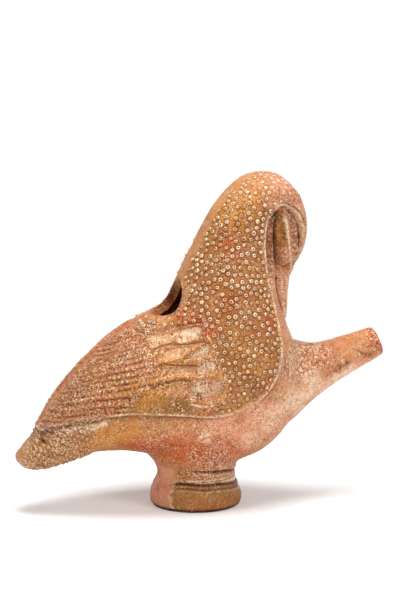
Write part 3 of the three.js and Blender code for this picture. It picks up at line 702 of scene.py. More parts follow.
# %% Tail
TAIL_ROW = 3.1  # millimetres from one row of hatching to the next
TAIL_BARB = 2.2
TAIL_PIT = (-77.5, 37.7)
TIP_CHALK = [(-71, 43.2), (-60.6, 45.6), (-52.5, 46.8), (-47, 49.8)]
tip_chalk = smooth_line(TIP_CHALK)


def tail_relief(xz, x, z, work):
    """Tail: hatched along its length, with a small pit near its tip."""
    field = inside(xz, np.array(tail_outline)) * ramp(x, -53, -58) * ramp(x, -87, -81) * ramp(z, 47.5, 45)
    row = (z + 0.42 * (x + 70)) / TAIL_ROW
    between = np.abs(row - np.round(row))
    slant = np.where(np.round(row - 0.5) % 2 > 0, 1.0, -1.0)
    barb = np.sin(math.tau * (x / TAIL_BARB + slant * 0.5 * (row - np.floor(row))))
    work["height"] += field * (0.35 * ramp(between, 0.04, 0.3) - 0.14 + 0.2 * barb)
    # dirt and painted shade in the hatching's grooves
    work["dirt_and_shade"] += field * (0.6 * stroke(between, 0.13) + 0.3 * ramp(barb, -0.3, -1))
    work["lime_and_painted_light"] += field * 0.5 * ramp(barb, 0, 0.9)
    work["lime_and_painted_light"] += 1.1 * stroke(off_line(xz, tip_chalk), 1.7) * ramp(x, -46, -50)
    pit = np.hypot(x - TAIL_PIT[0], z - TAIL_PIT[1])
    work["height"] -= 1.1 * stroke(pit, 1.3)
    # dirt and painted shade in the pit
    work["dirt_and_shade"] += 1.2 * stroke(pit, 1.1)


# %% Crack, groove and chip
BROW_CRACK = [(38.6, 151.2), (43.9, 149.8), (47.3, 147.4), (50.4, 144), (51.8, 139.5)]
SPOUT_CHIP = (71.7, -9.9, 69.9)
CHIP_SHADE = (2.3, 0, -1.0)  # from the chip's middle to the painted shade at its edge
crack_line = smooth_line(BROW_CRACK)


def crack_relief(xz, x, work):
    crack = off_line(xz, crack_line, 4.0)
    work["height"] -= 0.8 * stroke(crack, 0.4)
    work["height"] += 0.3 * stroke(crack - 1.0, 0.7)
    # dirt and painted shade in the crack
    work["dirt_and_shade"] += 0.9 * stroke(crack, 0.4) * ramp(x, 37, 42)
    work["lime_and_painted_light"] += 0.6 * stroke(crack - 1.0, 0.6)


def collar_relief(co, x, z, work):
    """A wandering groove round the collar; it sinks towards the front and fades at the back."""
    angle = np.arctan2(co[:, 1], -x)
    ring = z - 20.4 + 2.6 * ramp(np.abs(angle), 1.4, 2.8) - 0.25 * np.sin(5 * angle)
    worked = ramp(np.abs(angle), 0.9, 1.8)
    work["height"] -= 1.4 * worked * stroke(ring, 0.65)
    work["height"] += 0.5 * worked * (stroke(ring - 1.4, 0.7) + stroke(ring + 1.8, 1.0))
    # dirt and painted shade in the groove, black where it is thickest
    work["dirt_and_shade"] += 2.0 * worked * stroke(ring, 0.5)
    work["lime_and_painted_light"] += 0.5 * worked * stroke(ring + 1.3, 0.4)


def chip_relief(co, work):
    chip = np.linalg.norm(co - SPOUT_CHIP, axis=1)
    work["height"] -= 0.7 * stroke(chip, 1.3)
    # painted highlight in the chip, and painted shade at its lower edge
    work["lime_and_painted_light"] += 2.0 * stroke(chip, 1.0)
    work["dirt_and_shade"] += 1.5 * stroke(np.linalg.norm(co - SPOUT_CHIP - CHIP_SHADE, axis=1), 1.0)


# %% [markdown]
# ## Working the lump over
#
# Now all the relief goes onto the skin at once, together with the slight unevenness that hands leave in clay.
# That unevenness is noise in three sizes. A Displace modifier could carry it, but moving the points in code
# keeps it in step with the drawing.


# %% The relief goes on
def relief(co):
    """Height and paints of every drawn thing, for each point."""
    x, side, z = co[:, 0], np.abs(co[:, 1]), co[:, 2]
    xz = co[:, [0, 2]]
    work = {name: np.zeros(len(co)) for name in ("height", *PAINTS)}
    rim_relief(xz, x, z, work)
    lip_relief(xz, x, z, work)
    in_wing = depth_in(xz, wing_outline)
    off_strip = ramp(side, 1.2, 3.0)
    work["height"] += WING_PROUD * ramp(in_wing, -0.2, 0.9) * off_strip
    feather_relief(co, xz, x, side, z, in_wing, work)
    covert_relief(xz, x, z, in_wing, work)
    tail_relief(xz, x, z, work)
    crack_relief(xz, x, work)
    collar_relief(co, x, z, work)
    chip_relief(co, work)
    return work


def outward(obj):
    normal = np.empty(len(obj.data.vertices) * 3)
    obj.data.vertex_normals.foreach_get("vector", normal)
    return normal.reshape(-1, 3)


def move_points(obj, co):
    obj.data.vertices.foreach_set("co", co.ravel())
    obj.data.update()


def worked_over(obj):
    """Applies the relief and the unevenness that hands leave in clay."""
    co = points_of(obj)
    push = relief(co)["height"]
    lumpy = 0.22 * grain(co, 11, 1) + 0.12 * grain(co, 3.5, 2) + 0.06 * grain(co, 1.3, 3)
    even = 1 - 0.5 * ramp(spout_distance(co), -2, 4)
    move_points(obj, co + outward(obj) * (push + lumpy * even)[:, None])
    print(obj.name, "relief from", round(push.min(), 2), "to", round(push.max(), 2), "mm")


worked_over(lump)

# %% [markdown]
# The wings and the tail carry the finest drawing. Remeshing the whole bird that finely would cost too many
# faces, so only these two are taken from a finer skin of the same lump, each from a block a little larger
# than the piece.

# %% Finer skins for wings and tail
FINE_VOXEL = 0.34


def finer_block(name, low_x, low_z, high_x, high_z):
    box = [(low_x, low_z), (high_x, low_z), (high_x, high_z), (low_x, high_z)]
    tool = pressed("block", box)
    block = shaped(copied(plain_lump, name), "INTERSECT", tool)
    put_away(tool)
    fine_skin(block, FINE_VOXEL)
    worked_over(block)
    return block


wing_block = finer_block("wing_block", -95, 34, 16, 104)
tail_block = finer_block("tail_block", -95, 15, -46, 56)

# %% [markdown]
# ## Hollowing out
#
# The bottle holds a small drink: belly and neck are hollow inside a wall of about five millimetres, and a
# narrowing channel leads to the spout. Through the filling hole one can look into it. The same sections that
# gave the outside give the hollow, each set in by its own wall, so the wall is even.

# %% Belly, channel and foot well
WELL_RADIUS = 13.5
WELL_LOW, WELL_HIGH = 10, 32
BORE_ROOT, BORE_TIP = 5.4, 3.5
SOCKET_RADIUS, SOCKET_DEPTH = 7.5, 5
HOLLOW_FIRST, HOLLOW_LAST = 5.0, 17.4  # the hollow runs from the back's section to the crown's
CHANNEL = [(0, -30), (10, -30), (BORE_ROOT, -SOCKET_DEPTH), (BORE_ROOT, 1), (0, 1)]  # radius, distance

belly = rolled("belly", bird_rings(None, HOLLOW_FIRST, HOLLOW_LAST, 44, 48))
well = turned("well", [(0, WELL_LOW), (WELL_RADIUS, WELL_LOW), (WELL_RADIUS, WELL_HIGH), (0, WELL_HIGH)], 48)
to_joint = Matrix.Translation((SPOUT_JOINT[0], 0, SPOUT_JOINT[1]))
along_axis = to_joint @ Matrix.Rotation(math.radians(90) - SPOUT_LEAN, 4, "Y")
channel = turned("channel", CHANNEL, 48)
channel.data.transform(along_axis)
inner_skin = rolled("inner_skin", bird_rings(-WING_BED))

whole = copied(lump, "whole")
for tool in (belly, well, channel):
    shaped(whole, "DIFFERENCE", tool)
print("hollow bottle:", len(whole.data.vertices), "points")

# %% [markdown]
# ## Parting the lump into its pieces
#
# Now the lump comes apart along the real joints. A piece and its neighbour are cut with the same tool, so
# the two surfaces meet exactly and the tooling runs on across the joint.

# %% Halves, wings, tail and spout
tail_tool = pressed("tail_tool", tail_outline)
spout_tool = turned("spout_tool", [(0, 0), (30, 0), (30, 60), (0, 60)], 64)
spout_tool.data.transform(along_axis)
foot_tool = pressed("foot_tool", [(-FAR, -FAR), (FAR, -FAR), (FAR, FOOT_JOINT_Z), (-FAR, FOOT_JOINT_Z)])

tail = shaped(copied(tail_block, "tail_paddle"), "INTERSECT", tail_tool)
spout = shaped(copied(lump, "pouring_spout"), "INTERSECT", spout_tool)
for tool in (tail_tool, spout_tool, foot_tool):
    shaped(whole, "DIFFERENCE", tool)

halves, wings = {}, {}
for hand, sign in (("right", -1), ("left", 1)):
    low, high = sorted((sign * RIDGE_HALF, sign * FAR))
    wing_tool = pressed("wing_tool", wing_outline, low, high)
    wing = shaped(copied(wing_block, "wing_feathers_" + hand), "INTERSECT", wing_tool)
    shaped(wing, "DIFFERENCE", inner_skin)
    wings[hand] = shaped(wing, "DIFFERENCE", tail_tool)
    bed = shaped(wing_tool, "DIFFERENCE", inner_skin)
    low, high = sorted((0, sign * FAR))
    box = [(-FAR, -FAR), (FAR, -FAR), (FAR, FAR), (-FAR, FAR)]
    half_tool = pressed("half_tool", box, low, high)
    half = shaped(copied(whole, "moulded_half_" + hand), "INTERSECT", half_tool)
    halves[hand] = shaped(half, "DIFFERENCE", bed)
    put_away(bed, half_tool)

# %% [markdown]
# The spout keeps a spigot that sits in a socket in the breast, and a bore that narrows towards its tip. Its
# lip was rounded with a wet finger. One turned spigot serves twice: it cuts the socket and joins the spout.

# %% Spigot, bore and lip
LIP_FLARE = 1.1  # the bore opens by this much in the lip
SPIGOT = [(0, -SOCKET_DEPTH), (SOCKET_RADIUS, -SOCKET_DEPTH), (SOCKET_RADIUS, 2), (0, 2)]
BORE = [
    (0, -9), (BORE_ROOT, -9), (BORE_ROOT, -SOCKET_DEPTH), (BORE_TIP, SPOUT_LENGTH - 1.5),
    (BORE_TIP + LIP_FLARE, SPOUT_LENGTH + 0.6), (0, SPOUT_LENGTH + 0.6),
]  # fmt: skip
spigot = turned("spigot", SPIGOT, 64)
spigot.data.transform(along_axis)
for half in halves.values():
    shaped(half, "DIFFERENCE", spigot)
shaped(spout, "UNION", spigot)
bore = turned("bore", BORE, 64)
bore.data.transform(along_axis)
shaped(spout, "DIFFERENCE", bore)
put_away(spigot, bore, belly, well, channel, inner_skin, tail_tool, spout_tool, foot_tool, whole)
for piece in [*halves.values(), *wings.values(), tail, spout]:
    print(piece.name, len(piece.data.vertices), "points,", len(piece.data.loop_triangles), "triangles")

# %% [markdown]
# ## Face and bill
#
# The face hangs in the hollow under the hood: a narrow column with two cheeks, a sharp ridge down its side
# and an eye socket beside the ridge. The bill hangs from it and lies on the throat. Both were modelled by
# hand and set in, so here they are columns of their own, drawn over as the lump was, and cut to fit it.

# %% Columns of face and bill
FACE_SECTIONS = [  # height, X, half-depth, half-width
    (152, 42.5, 5.0, 7.0), (143, 42.8, 6.6, 10.4), (134, 43.6, 7.2, 11.4),
    (126, 43.8, 7.0, 11.2), (118, 42.8, 6.0, 8.6), (112.5, 42.0, 4.6, 5.8),
]  # fmt: skip
BILL_SECTIONS = [
    (112.5, 42.0, 4.6, 5.6), (103, 41.5, 4.3, 4.8), (94, 41.8, 3.6, 3.8), (89, 42.2, 2.2, 2.4),
]  # fmt: skip
FACE_FULLNESS, BILL_FULLNESS = 0.62, 0.8
FACE_VOXEL = 0.3


def column(name, sections, full, count=40, sides=48):
    """A closed upright form; the lower its fullness, the flatter its sides."""
    angle = math.tau * np.arange(sides) / sides
    along, across = (np.sign(wave) * np.abs(wave) ** full for wave in (np.cos(angle), np.sin(angle)))
    rings = []
    for z, x, depth, half in smooth_line(sections, np.linspace(0, len(sections) - 1, count)):
        rings.append(np.stack([x + depth * along, half * across, z + 0 * angle], 1))
    return rolled(name, rings)


face = column("bent_face", FACE_SECTIONS, FACE_FULLNESS)
bill = column("long_bill", BILL_SECTIONS, BILL_FULLNESS)
print("face and bill:", len(face.data.vertices), "and", len(bill.data.vertices), "points")

# %% [markdown]
# The face's drawing is measured from its ridge. Behind the ridge the clay swells to a smooth ochre cheek,
# in front of it lies a crust of grit and lime.

# %% Drawing on the face
FACE_RIDGE = smooth_line([(41.4, 144), (42.2, 141), (43.6, 131), (44.7, 119.4), (44.4, 114)])
FACE_FOLD = smooth_line([(39.4, 119.6), (41.5, 118.8), (44.7, 121)])
BILL_LINE = smooth_line([(38.4, 112), (39.2, 107), (41, 99), (42.7, 91)])


def face_relief(co):
    x, side, z = co[:, 0], np.abs(co[:, 1]), co[:, 2]
    xz = co[:, [0, 2]]
    flank = ramp(side, 2.5, 6)
    on_face = flank * ramp(z, 112, 119)
    ridge_x = np.interp(z, FACE_RIDGE[::-1, 1], FACE_RIDGE[::-1, 0])
    beside = x - ridge_x
    swelling = stroke(beside, np.where(beside < 0, 3.2, 1.3)) * ramp(z, 147, 141)
    crest = stroke(beside, 0.5 + 0.5 * ramp(z, 128, 140)) * ramp(z, 146, 142)
    socket = ramp(np.hypot((x - 40.3) / 2.2, (z - 136.5) / 5.4), 1.15, 0.3)
    cheek = ramp(np.hypot((x - 41.6) / 3.6, (z - 124.5) / 6.5), 1.1, 0)
    fold = stroke(off_line(xz, FACE_FOLD), 0.5) * flank
    line = stroke(off_line(xz, BILL_LINE), 0.45) * ramp(side, 1, 2.5)
    crust = ramp(beside, 1.2, 2.4) * ramp(z, 114, 119)
    height = on_face * (1.5 * swelling + 0.7 * crest - 1.2 * socket + 0.9 * cheek)
    height += -0.6 * fold - 0.55 * line + crust * (0.6 * grain(co, 2.2, 12) - 0.4)
    height += 0.12 * grain(co, 4, 5) + 0.06 * grain(co, 1.3, 6)
    left_edge = on_face * ramp(x, 38.4, 37.2)
    streaks = (z < 116) * (0.5 + 0.5 * np.sin(x * 2.4 + 0.3 * z))
    limy_crust = 1.3 * crust * ramp(grain(co, 1.5, 13), -0.05, 0.3)
    ochre_cheek = on_face * ramp(beside, 0.3, -0.8) * ramp(z, 127, 132)
    # the fold and the bill's groove get painted shade; the crust and the left edge by the hollow get dirt and
    # painted shade
    marks = {
        "lime_and_painted_light": 1.1 * streaks + 2.0 * crest * on_face + limy_crust + 0.5 * left_edge,
        "dirt_and_shade": 0.8 * fold + 0.7 * line + 0.5 * crust + 0.5 * left_edge,
        "ochre": 1.3 * ochre_cheek,
        "pink": 0.7 * cheek + 1.0 * (z < 116),
        "gold": 0.6 * ochre_cheek,
        "red": 0.8 * left_edge + 0.5 * crust,
    }
    return height, marks


for piece in (face, bill):
    finished(piece, "REMESH", mode="VOXEL", voxel_size=FACE_VOXEL)
    finished(piece, "SMOOTH", factor=0.5, iterations=6)
    co = points_of(piece)
    move_points(piece, co + outward(piece) * face_relief(co)[0][:, None])
    shaped(piece, "DIFFERENCE", lump)
    print(piece.name, len(piece.data.vertices), "points")

# %% [markdown]
# ## Foot
#
# The foot was turned with ledges that run round it, and the two mould halves were wiped together at the
# back, which left a smooth upright band there. A profile spun round the axis gives the ledges. They wander a
# little on the real foot, so the turned ring is pushed about afterwards. A disc closes it from below.

# %% Foot ring and disc as turned
FOOT_PROFILE = [  # radius, height
    (20.6, 0.0), (21.3, 0.35), (21.9, 1.2), (22.35, 3), (22.5, 5), (22.4, 7), (22.0, 8.6), (21.6, 9.6),
    (21.2, 10.1), (20.7, 10.4), (20.6, 11), (20.8, 11.6), (20.6, 12.2), (20.0, 12.7), (19.3, 13.0),
    (19.0, 13.4), (19.2, 14.0), (19.15, 14.6), (FOOT_WAIST, FOOT_JOINT_Z),
]  # fmt: skip
SEAT_RADIUS, BASE_THICKNESS = 17, 5
FOOT_INSIDE = [
    (WELL_RADIUS, FOOT_JOINT_Z), (WELL_RADIUS, BASE_THICKNESS),
    (SEAT_RADIUS, BASE_THICKNESS), (SEAT_RADIUS, 0),
]  # fmt: skip
BASE_PROFILE = [
    (0, 0.5), (12, 0.3), (16.6, 0.1), (SEAT_RADIUS, 0.4), (SEAT_RADIUS, BASE_THICKNESS), (0, BASE_THICKNESS),
]  # fmt: skip
foot_outside = smooth_line(FOOT_PROFILE, np.linspace(0, len(FOOT_PROFILE) - 1, 72))
foot = turned("foot_ledges", [*map(tuple, foot_outside), *FOOT_INSIDE, FOOT_PROFILE[0]], 288)
base = turned("foot_disc", BASE_PROFILE, 96)
print("foot:", len(foot.data.vertices), "points, disc:", len(base.data.vertices), "points")

# %% [markdown]
# The band at the back follows a plain profile without ledges. Elsewhere the ledges wander up and down, and
# they lean towards the front, as the photo shows.

# %% Band, ledges that wander, and rough skin
# height, radius
FOOT_PLAIN = [(0, 20.9), (1.5, 22.0), (4, 22.4), (8, 21.9), (11, 20.7), (13, 19.6), (15, 18.9)]
BAND_EDGE = 0.8  # half the band's breadth, as an angle


def foot_band(angle, z):
    """The wiped band at the back of the foot; its edges lean and wander a little."""
    edge = BAND_EDGE + 0.03 * np.sin(z * 0.5 + 1) + 0.02 * np.sin(z * 1.3)
    return ramp(np.abs(angle), edge + 0.05, edge - 0.07), stroke(np.abs(angle) - edge, 0.035)


def foot_relief(co):
    """How far each point of the turned foot moves sideways and upwards."""
    x, y, z = co.T
    angle = np.arctan2(y, -x)
    radius = np.hypot(x, y)
    skin = ramp(radius, 17.6, 18.2)
    band, edge = foot_band(angle, z)
    plain = np.interp(z, *np.array(FOOT_PLAIN).T)
    sideways = skin * (band * (plain - radius) + 0.6 * edge * ramp(z, 1, 3))
    rough = 0.2 * grain(co, 5, 7) + 0.13 * grain(co, 1.8, 8) + 0.06 * grain(co, 0.9, 9)
    sideways += skin * (1 - band) * 0.55 * stroke(z - 14.3, 0.6) * (0.6 + 0.8 * grain(co, 1.6, 16))
    sideways += skin * rough * (1 - 0.5 * band) * ramp(z, 0, 1.2) * ramp(z, 15, 14.4)
    wander = 0.2 * np.sin(angle * 2 + 1) + 0.25 * np.sin(angle * 5 + 0.4) + 0.15 * np.sin(angle * 9)
    leaning = 1.0 - 2.6 * ramp(np.abs(angle), 1.5, 2.8)
    upwards = (wander + leaning) * skin * (1 - band) * ramp(z, 3, 9) * ramp(z, 15, 13.6)
    return sideways, upwards


foot_flat = points_of(foot)
sideways, upwards = foot_relief(foot_flat)
radial = foot_flat * (1, 1, 0) / np.maximum(np.hypot(foot_flat[:, 0], foot_flat[:, 1]), 1e-6)[:, None]
move_points(foot, foot_flat + radial * sideways[:, None] + upwards[:, None] * (0, 0, 1))
print("ledges move up by", upwards.max().round(2), "and down by", -upwards.min().round(2), "mm")

# %% [markdown]
# ## Plumage
#
# Each dot of the plumage is a pellet of pale clay pressed on with a hollow reed, which left a small hole in
# its middle. They lie so that no two are closer than about a pellet's breadth, over the plumage but not on
# the wing, the wiped strip or the rims. So the first thing to settle is the ground that they may stand on.

# %% Ground for the pellets
# how wide the smooth strip down the nape is: height, half-width
NAPE_STRIP = [(95, 4), (107, 6.5), (119, 6.5), (131, 7.5), (140, 8), (149, 7.5), (156, 6.5), (163, 4)]
STRIP_SHIFT = 5  # it lies a little to the left of the middle


def plumage(co):
    """How far inside the pelleted ground each point lies, in millimetres."""
    x, side, z = co[:, 0], np.abs(co[:, 1]), co[:, 2]
    xz = co[:, [0, 2]]
    room = depth_in(xz, above_rim, 12.0) - 2.0 - 0.8 * ramp(x, 34, 26)
    room = np.where(z > 112, np.where(x > 32, 12, room), room)
    room = np.minimum(room, -depth_in(xz, wing_outline) - 0.6)
    room = np.minimum(room, -depth_in(xz, hollow_line) - np.where(x > 36, 4.2, 1.8))
    behind = np.interp(z, *np.array(NAPE_STRIP).T) + np.where(co[:, 1] > 0, STRIP_SHIFT, 0)
    room = np.minimum(room, side - np.where(x < 28, behind, 2.5))
    hole = np.hypot(x - HOLE_CENTRE[0], z - HOLE_CENTRE[1])
    room = np.minimum(room, np.where(side < 16, hole - 13, 12))
    bare = (x < -38) | (z < 50) | ((spout_distance(co) > -14) & (z < 84))
    bare |= ((z < 118) & (x > 40)) | ((x > 46) & (z < 152))
    return np.where(bare, -1, room)


for piece in halves.values():
    print(piece.name, int((plumage(points_of(piece)) > 0).sum()), "points of pelleted ground")

# %% [markdown]
# The measured bottle already carries its main pellets, in rows round the bird. They come first, and then the
# piece's own points are tried in random order. A point is taken if no pellet stands too close. A particle
# system would scatter too, but it can't keep them apart.

# %% Spots for the pellets
PELLET_GAP = 2.85
PELLET_ROWS = {"first": 8.4, "last": 19.2, "step": 0.6}
PELLET_SPACING = 9
HALF_TURN = 360  # points on one side of a ring


def main_spots(sign):
    """Where the measured bottle carries its main pellets: rows round the bird, every other row shifted."""
    spots = []
    shares = np.arange(PELLET_ROWS["first"], PELLET_ROWS["last"], PELLET_ROWS["step"])
    for row, ring in enumerate(bird_rings(0, shares[0], shares[-1], len(shares), 2 * HALF_TURN)):
        depth, width = np.linalg.norm(ring[HALF_TURN] - ring[0]) / 2, ring[:, 1].max()
        count = round(math.pi * math.sqrt((depth**2 + width**2) / 2) / PELLET_SPACING)
        half_way = ring[:HALF_TURN] if sign < 0 else ring[::-1]
        spots += [half_way[int(HALF_TURN * (i + (row % 2) / 2) / count)] for i in range(1, count)]
    return np.array(spots)


def scattered(obj, sign, chance):
    """Spots for pellets: the main ones first, then the piece's own points in random order."""
    co = points_of(obj)
    ground = np.flatnonzero(plumage(co) > 0)
    tree = KDTree(len(ground))
    for i, spot in enumerate(co[ground]):
        tree.insert(spot, i)
    tree.balance()
    first = [tree.find(spot) for spot in main_spots(sign)]
    order = [i for _, i, distance in first if distance < 2] + list(chance.permutation(len(ground)))
    free = np.ones(len(ground), bool)
    kept = []
    for i in order:
        if free[i]:
            kept.append(ground[i])
            for _, near, _ in tree.find_range(co[ground[i]], PELLET_GAP):
                free[near] = False
    return co[kept], outward(obj)[kept]


print("main pellets on one side:", len(main_spots(-1)))

# %% [markdown]
# One pellet is a few faces turned on its own axis. Each spot gets a copy of a size and height of its own,
# lower where the plumage is rubbed. A named value on the points says how much painted shade goes into the
# reed's hole and round the pellet's foot. The paint reads it later.

# %% Pellets
PELLET = [(1.12, -0.3), (1.02, 0.12), (0.84, 0.5), (0.64, 0.8), (0.44, 0.78), (0.3, 0.34), (0, 0.24)]
PELLET_STEPS = 10
REED_MARKED = 0.8  # the share of the pellets that keep a clear hole
FIRST_SEED = 11


def mark(obj, values):
    """Paints named values onto the points."""
    for name, value in values.items():
        layer = obj.data.attributes.new(name, "FLOAT", "POINT")
        layer.data.foreach_set("value", np.clip(value, 0, 2).astype(np.float32))


def pellets(obj, name, sign, seed):
    chance = np.random.default_rng(seed)
    spots, normals = scattered(obj, sign, chance)
    height = spots[:, 2]
    button = turned("button", PELLET, PELLET_STEPS)
    shape = points_of(button)
    bm = bmesh.new()
    for _ in spots:
        bm.from_mesh(button.data)
    made = clay_object(name, bm)
    worn = 1 - 0.35 * ramp(height, 76, 58) - 0.4 * ramp(height, 146, 157)
    rubbed = 1 - 0.5 * ramp(height, 148, 158)
    wide = chance.uniform(0.9, 1.16, len(spots)) * (0.55 + 0.45 * worn)
    tall = wide * worn * chance.uniform(0.75, 1.25, len(spots)) * rubbed
    narrow = wide * chance.uniform(0.84, 1.0, len(spots))
    placed = []
    for spot, normal, size in zip(spots, normals, np.stack([wide, narrow, tall], 1)):
        turn = np.array(Vector(normal).to_track_quat("Z", "Y").to_matrix())
        placed.append(spot + (shape * size) @ turn.T)
    move_points(made, np.vstack(placed))
    radius = np.hypot(*shape[:, :2].T)
    reed = np.where(chance.random(len(spots)) < REED_MARKED, 1.2, 0.2)
    # painted shade in the reed's hole and round the pellet's foot
    pit = reed[:, None] * ramp(radius, 0.48, 0.34) + 0.6 * ramp(radius, 0.8, 1.08)
    mark(made, {"pit": pit.ravel()})
    put_away(button)
    print(name, len(spots), "pellets")
    return made, spots


plumages = {}
for seed, (hand, sign) in enumerate((("right", -1), ("left", 1)), FIRST_SEED):
    plumages[hand] = pellets(halves[hand], "plumage_pellets_" + hand, sign, seed)

# %% [markdown]
# ## Painting the marks
#
# The clay is all one clay, but it shows in several colours: ochre where the slip is thick, pink where it has
# worn through, chalky where lime has settled and dark where dirt sits in the grooves, with painted shade
# there too. Pale reflections and highlights on the breast and the spout are painted on as well. Painting by
# brush would need a texture. Here the drawing already knows where these belong, so each goes onto the points
# as a named value that the material reads. First come broad patches, whose edges are frayed by noise.

# %% Patches of colour
# colour on body, breast and spout, paint by paint: X, Z, how far each patch reaches, how strong it is
PATCHES = {
    "gold": [
        (-48, 40, 9, 1.2), (-38, 41, 9, 1.1), (-27, 42, 8, 0.9), (-14, 44, 8, 0.5), (76, 75, 8, 0.8),
        (84, 72, 7, 1.0), (-60, 34, 8, 0.5), (12, 60, 9, 0.7), (24, 78, 9, 1.1), (16, 88, 8, 0.9),
        (24, 120, 8, 0.6), (20, 150, 8, 1.0), (12, 146, 7, 0.9), (26, 158, 9, 0.9), (-40, 66, 14, 0.7),
        (-20, 74, 8, 0.8), (-16, 82, 6, 0.5), (-30, 60, 10, 0.7),
    ],
    "red": [
        (-34, 34, 9, 1.1), (-22, 33, 10, 1.1), (-8, 33, 11, 1.1), (6, 32, 10, 0.9), (14, 30, 8, 0.6),
        (4, 21, 11, 0.6), (66, 71, 7, 0.6), (90, 79, 5, 1.3), (30, 66, 6, 0.3), (30, 96, 6, 0.6),
        (10, 104, 7, 0.6), (0, 96, 6, 1.0), (-8, 98, 6, 0.9), (14, 132, 8, 0.7), (28, 136, 6, 0.6),
        (-50, 58, 9, 0.5), (2, 67, 3, 0.8),
    ],
    # the pink and chalk patches low on the breast, from X 20 to 62 and Z 36 to 60, are a painted reflection
    # of the white floor
    "pink": [
        (-12, 43, 10, 0.5), (6, 43, 12, 0.8), (24, 48, 10, 1.0), (20, 36, 9, 0.7), (50, 60, 10, 1.3),
        (36, 48, 10, 0.8), (44, 88, 5, 0.9), (62, 60, 6, 1.0), (38, 156, 8, 0.8), (50, 148, 7, 0.9),
        (40, 157, 9, 1.0), (-36, 80, 8, 0.5), (-1, 64, 5, 0.7), (40, 112, 7, 1.2),
    ],
    "lime_and_painted_light": [
        (31, 47, 9, 0.6), (40, 55, 9, 0.5), (-2, 40, 4, 0.9), (22, 36, 7, 0.5), (56, 59, 8, 0.9),
        (48, 52, 8, 0.7), (46, 74, 6, 0.4), (-5, 67, 3, 1.4),
    ],
    "veins": [
        (46, 74, 11, 1.3), (60, 72, 8, 0.9), (4, 23, 12, 1.0), (-25, 44, 10, 0.5),
    ],
    "ochre": [
        (4, 18, 9, 0.5), (-80, 30, 9, 0.7),
    ],
    "dirt_and_shade": [
        (-6, 62, 2, 0.6),
    ],
}  # fmt: skip


def patched(x, z, drift, marks):
    """Adds every patch; the drift frays its edge."""
    for paint, patches in PATCHES.items():
        for px, pz, reach, amount in patches:
            away = np.hypot(x - px, z - pz) / reach
            marks[paint] += amount * ramp(away + 0.35 * drift, 1.25, 0.35)


print(sum(len(patches) for patches in PATCHES.values()), "patches in", len(PATCHES), "paints")

# %% [markdown]
# Then come the marks that follow a part of the bird: the plumage's ochre slip and the pink belly below it,
# the spout with its golden side, its painted highlight along the top and the painted reflection of the white
# floor on its underside, the red of the wiped back, the painted shade in the hollows and the smooth band at
# the back of the collar.


# %% Marks of plumage and spout
def plumage_marks(co, x, z, marks):
    feathers = ramp(plumage(co), -1.5, 0.8)
    below = ramp(depth_in(co[:, [0, 2]], above_rim, 6.0), 0.5, -0.8) * ramp(x, -62, -54) * ramp(z, 114, 108)
    crown = ramp(z, 146, 158)
    marks["ochre"] += 0.9 * feathers * (1 - 0.5 * crown)
    marks["smooth"] += 0.6 * feathers
    marks["pink"] += below * 0.5 * ramp(x, -20, 10)
    marks["smooth"] += below * ramp(x, 30, 50) * 0.6
    marks["smooth"] += below * 0.5 * ramp(z, 38, 44) * ramp(x, -10, -24)


def spout_marks(co, x, z, drift, marks):
    """Red above and at the tip, golden and ochre along the side, a painted highlight along the top, and a
    pink and pale painted reflection of the white floor below.
    """
    past = spout_distance(co)
    lift = (z - SPOUT_JOINT[1]) * math.cos(SPOUT_LEAN) - (x - SPOUT_JOINT[0]) * math.sin(SPOUT_LEAN)
    tube = ramp(past, -12, 0) * ramp(z, 48, 54)
    off_tip = ramp(past, 24, 20)
    marks["red"] += tube * (0.3 * ramp(lift + 2 * drift, 4.5, 7) + 1.2 * ramp(past, 21, 24))
    marks["gold"] += tube * ramp(np.abs(lift - 4.5 + 2 * drift), 7, 4) * off_tip
    marks["ochre"] += tube * 1.4 * ramp(np.abs(lift - 1 + 3 * drift), 7, 3.5) * off_tip
    marks["veins"] += tube * (0.2 + 0.5 * ramp(past, 19, 22)) * ramp(lift, -5, -2)
    spots = ramp(drift + 1.5 * grain(co, 2.0, 18), 0.0, 0.4) * stroke(lift + 1, 4)
    marks["dirt_and_shade"] += tube * 0.6 * spots
    marks["red"] += tube * 1.2 * spots
    # painted highlight: a pale streak along the top of the tube
    marks["lime_and_painted_light"] += tube * 0.3 * stroke(lift - 3.2, 0.9) * ramp(past, 0, 5) * ramp(past, 20, 15)
    # painted reflection of the white floor: pink and pale on the underside
    marks["pink"] += tube * 1.8 * ramp(lift + 2 * drift, -2.5, -5)
    marks["lime_and_painted_light"] += tube * 1.2 * ramp(lift + drift, -3, -6.5) * ramp(past, 14, 6)
    marks["smooth"] += tube * ramp(lift, -3, -6)


# %% Marks of back, hollows and collar
def back_marks(x, side, z, drift, marks):
    shoulder = ramp(x, -12, -24)
    back = ramp(side, 9 - 5 * shoulder, 4 - 3 * shoulder) * ramp(x, 22, 8)
    marks["red"] += back * (0.6 + 1.2 * drift) * ramp(z, 112, 104)
    marks["smooth"] += 0.6 * back


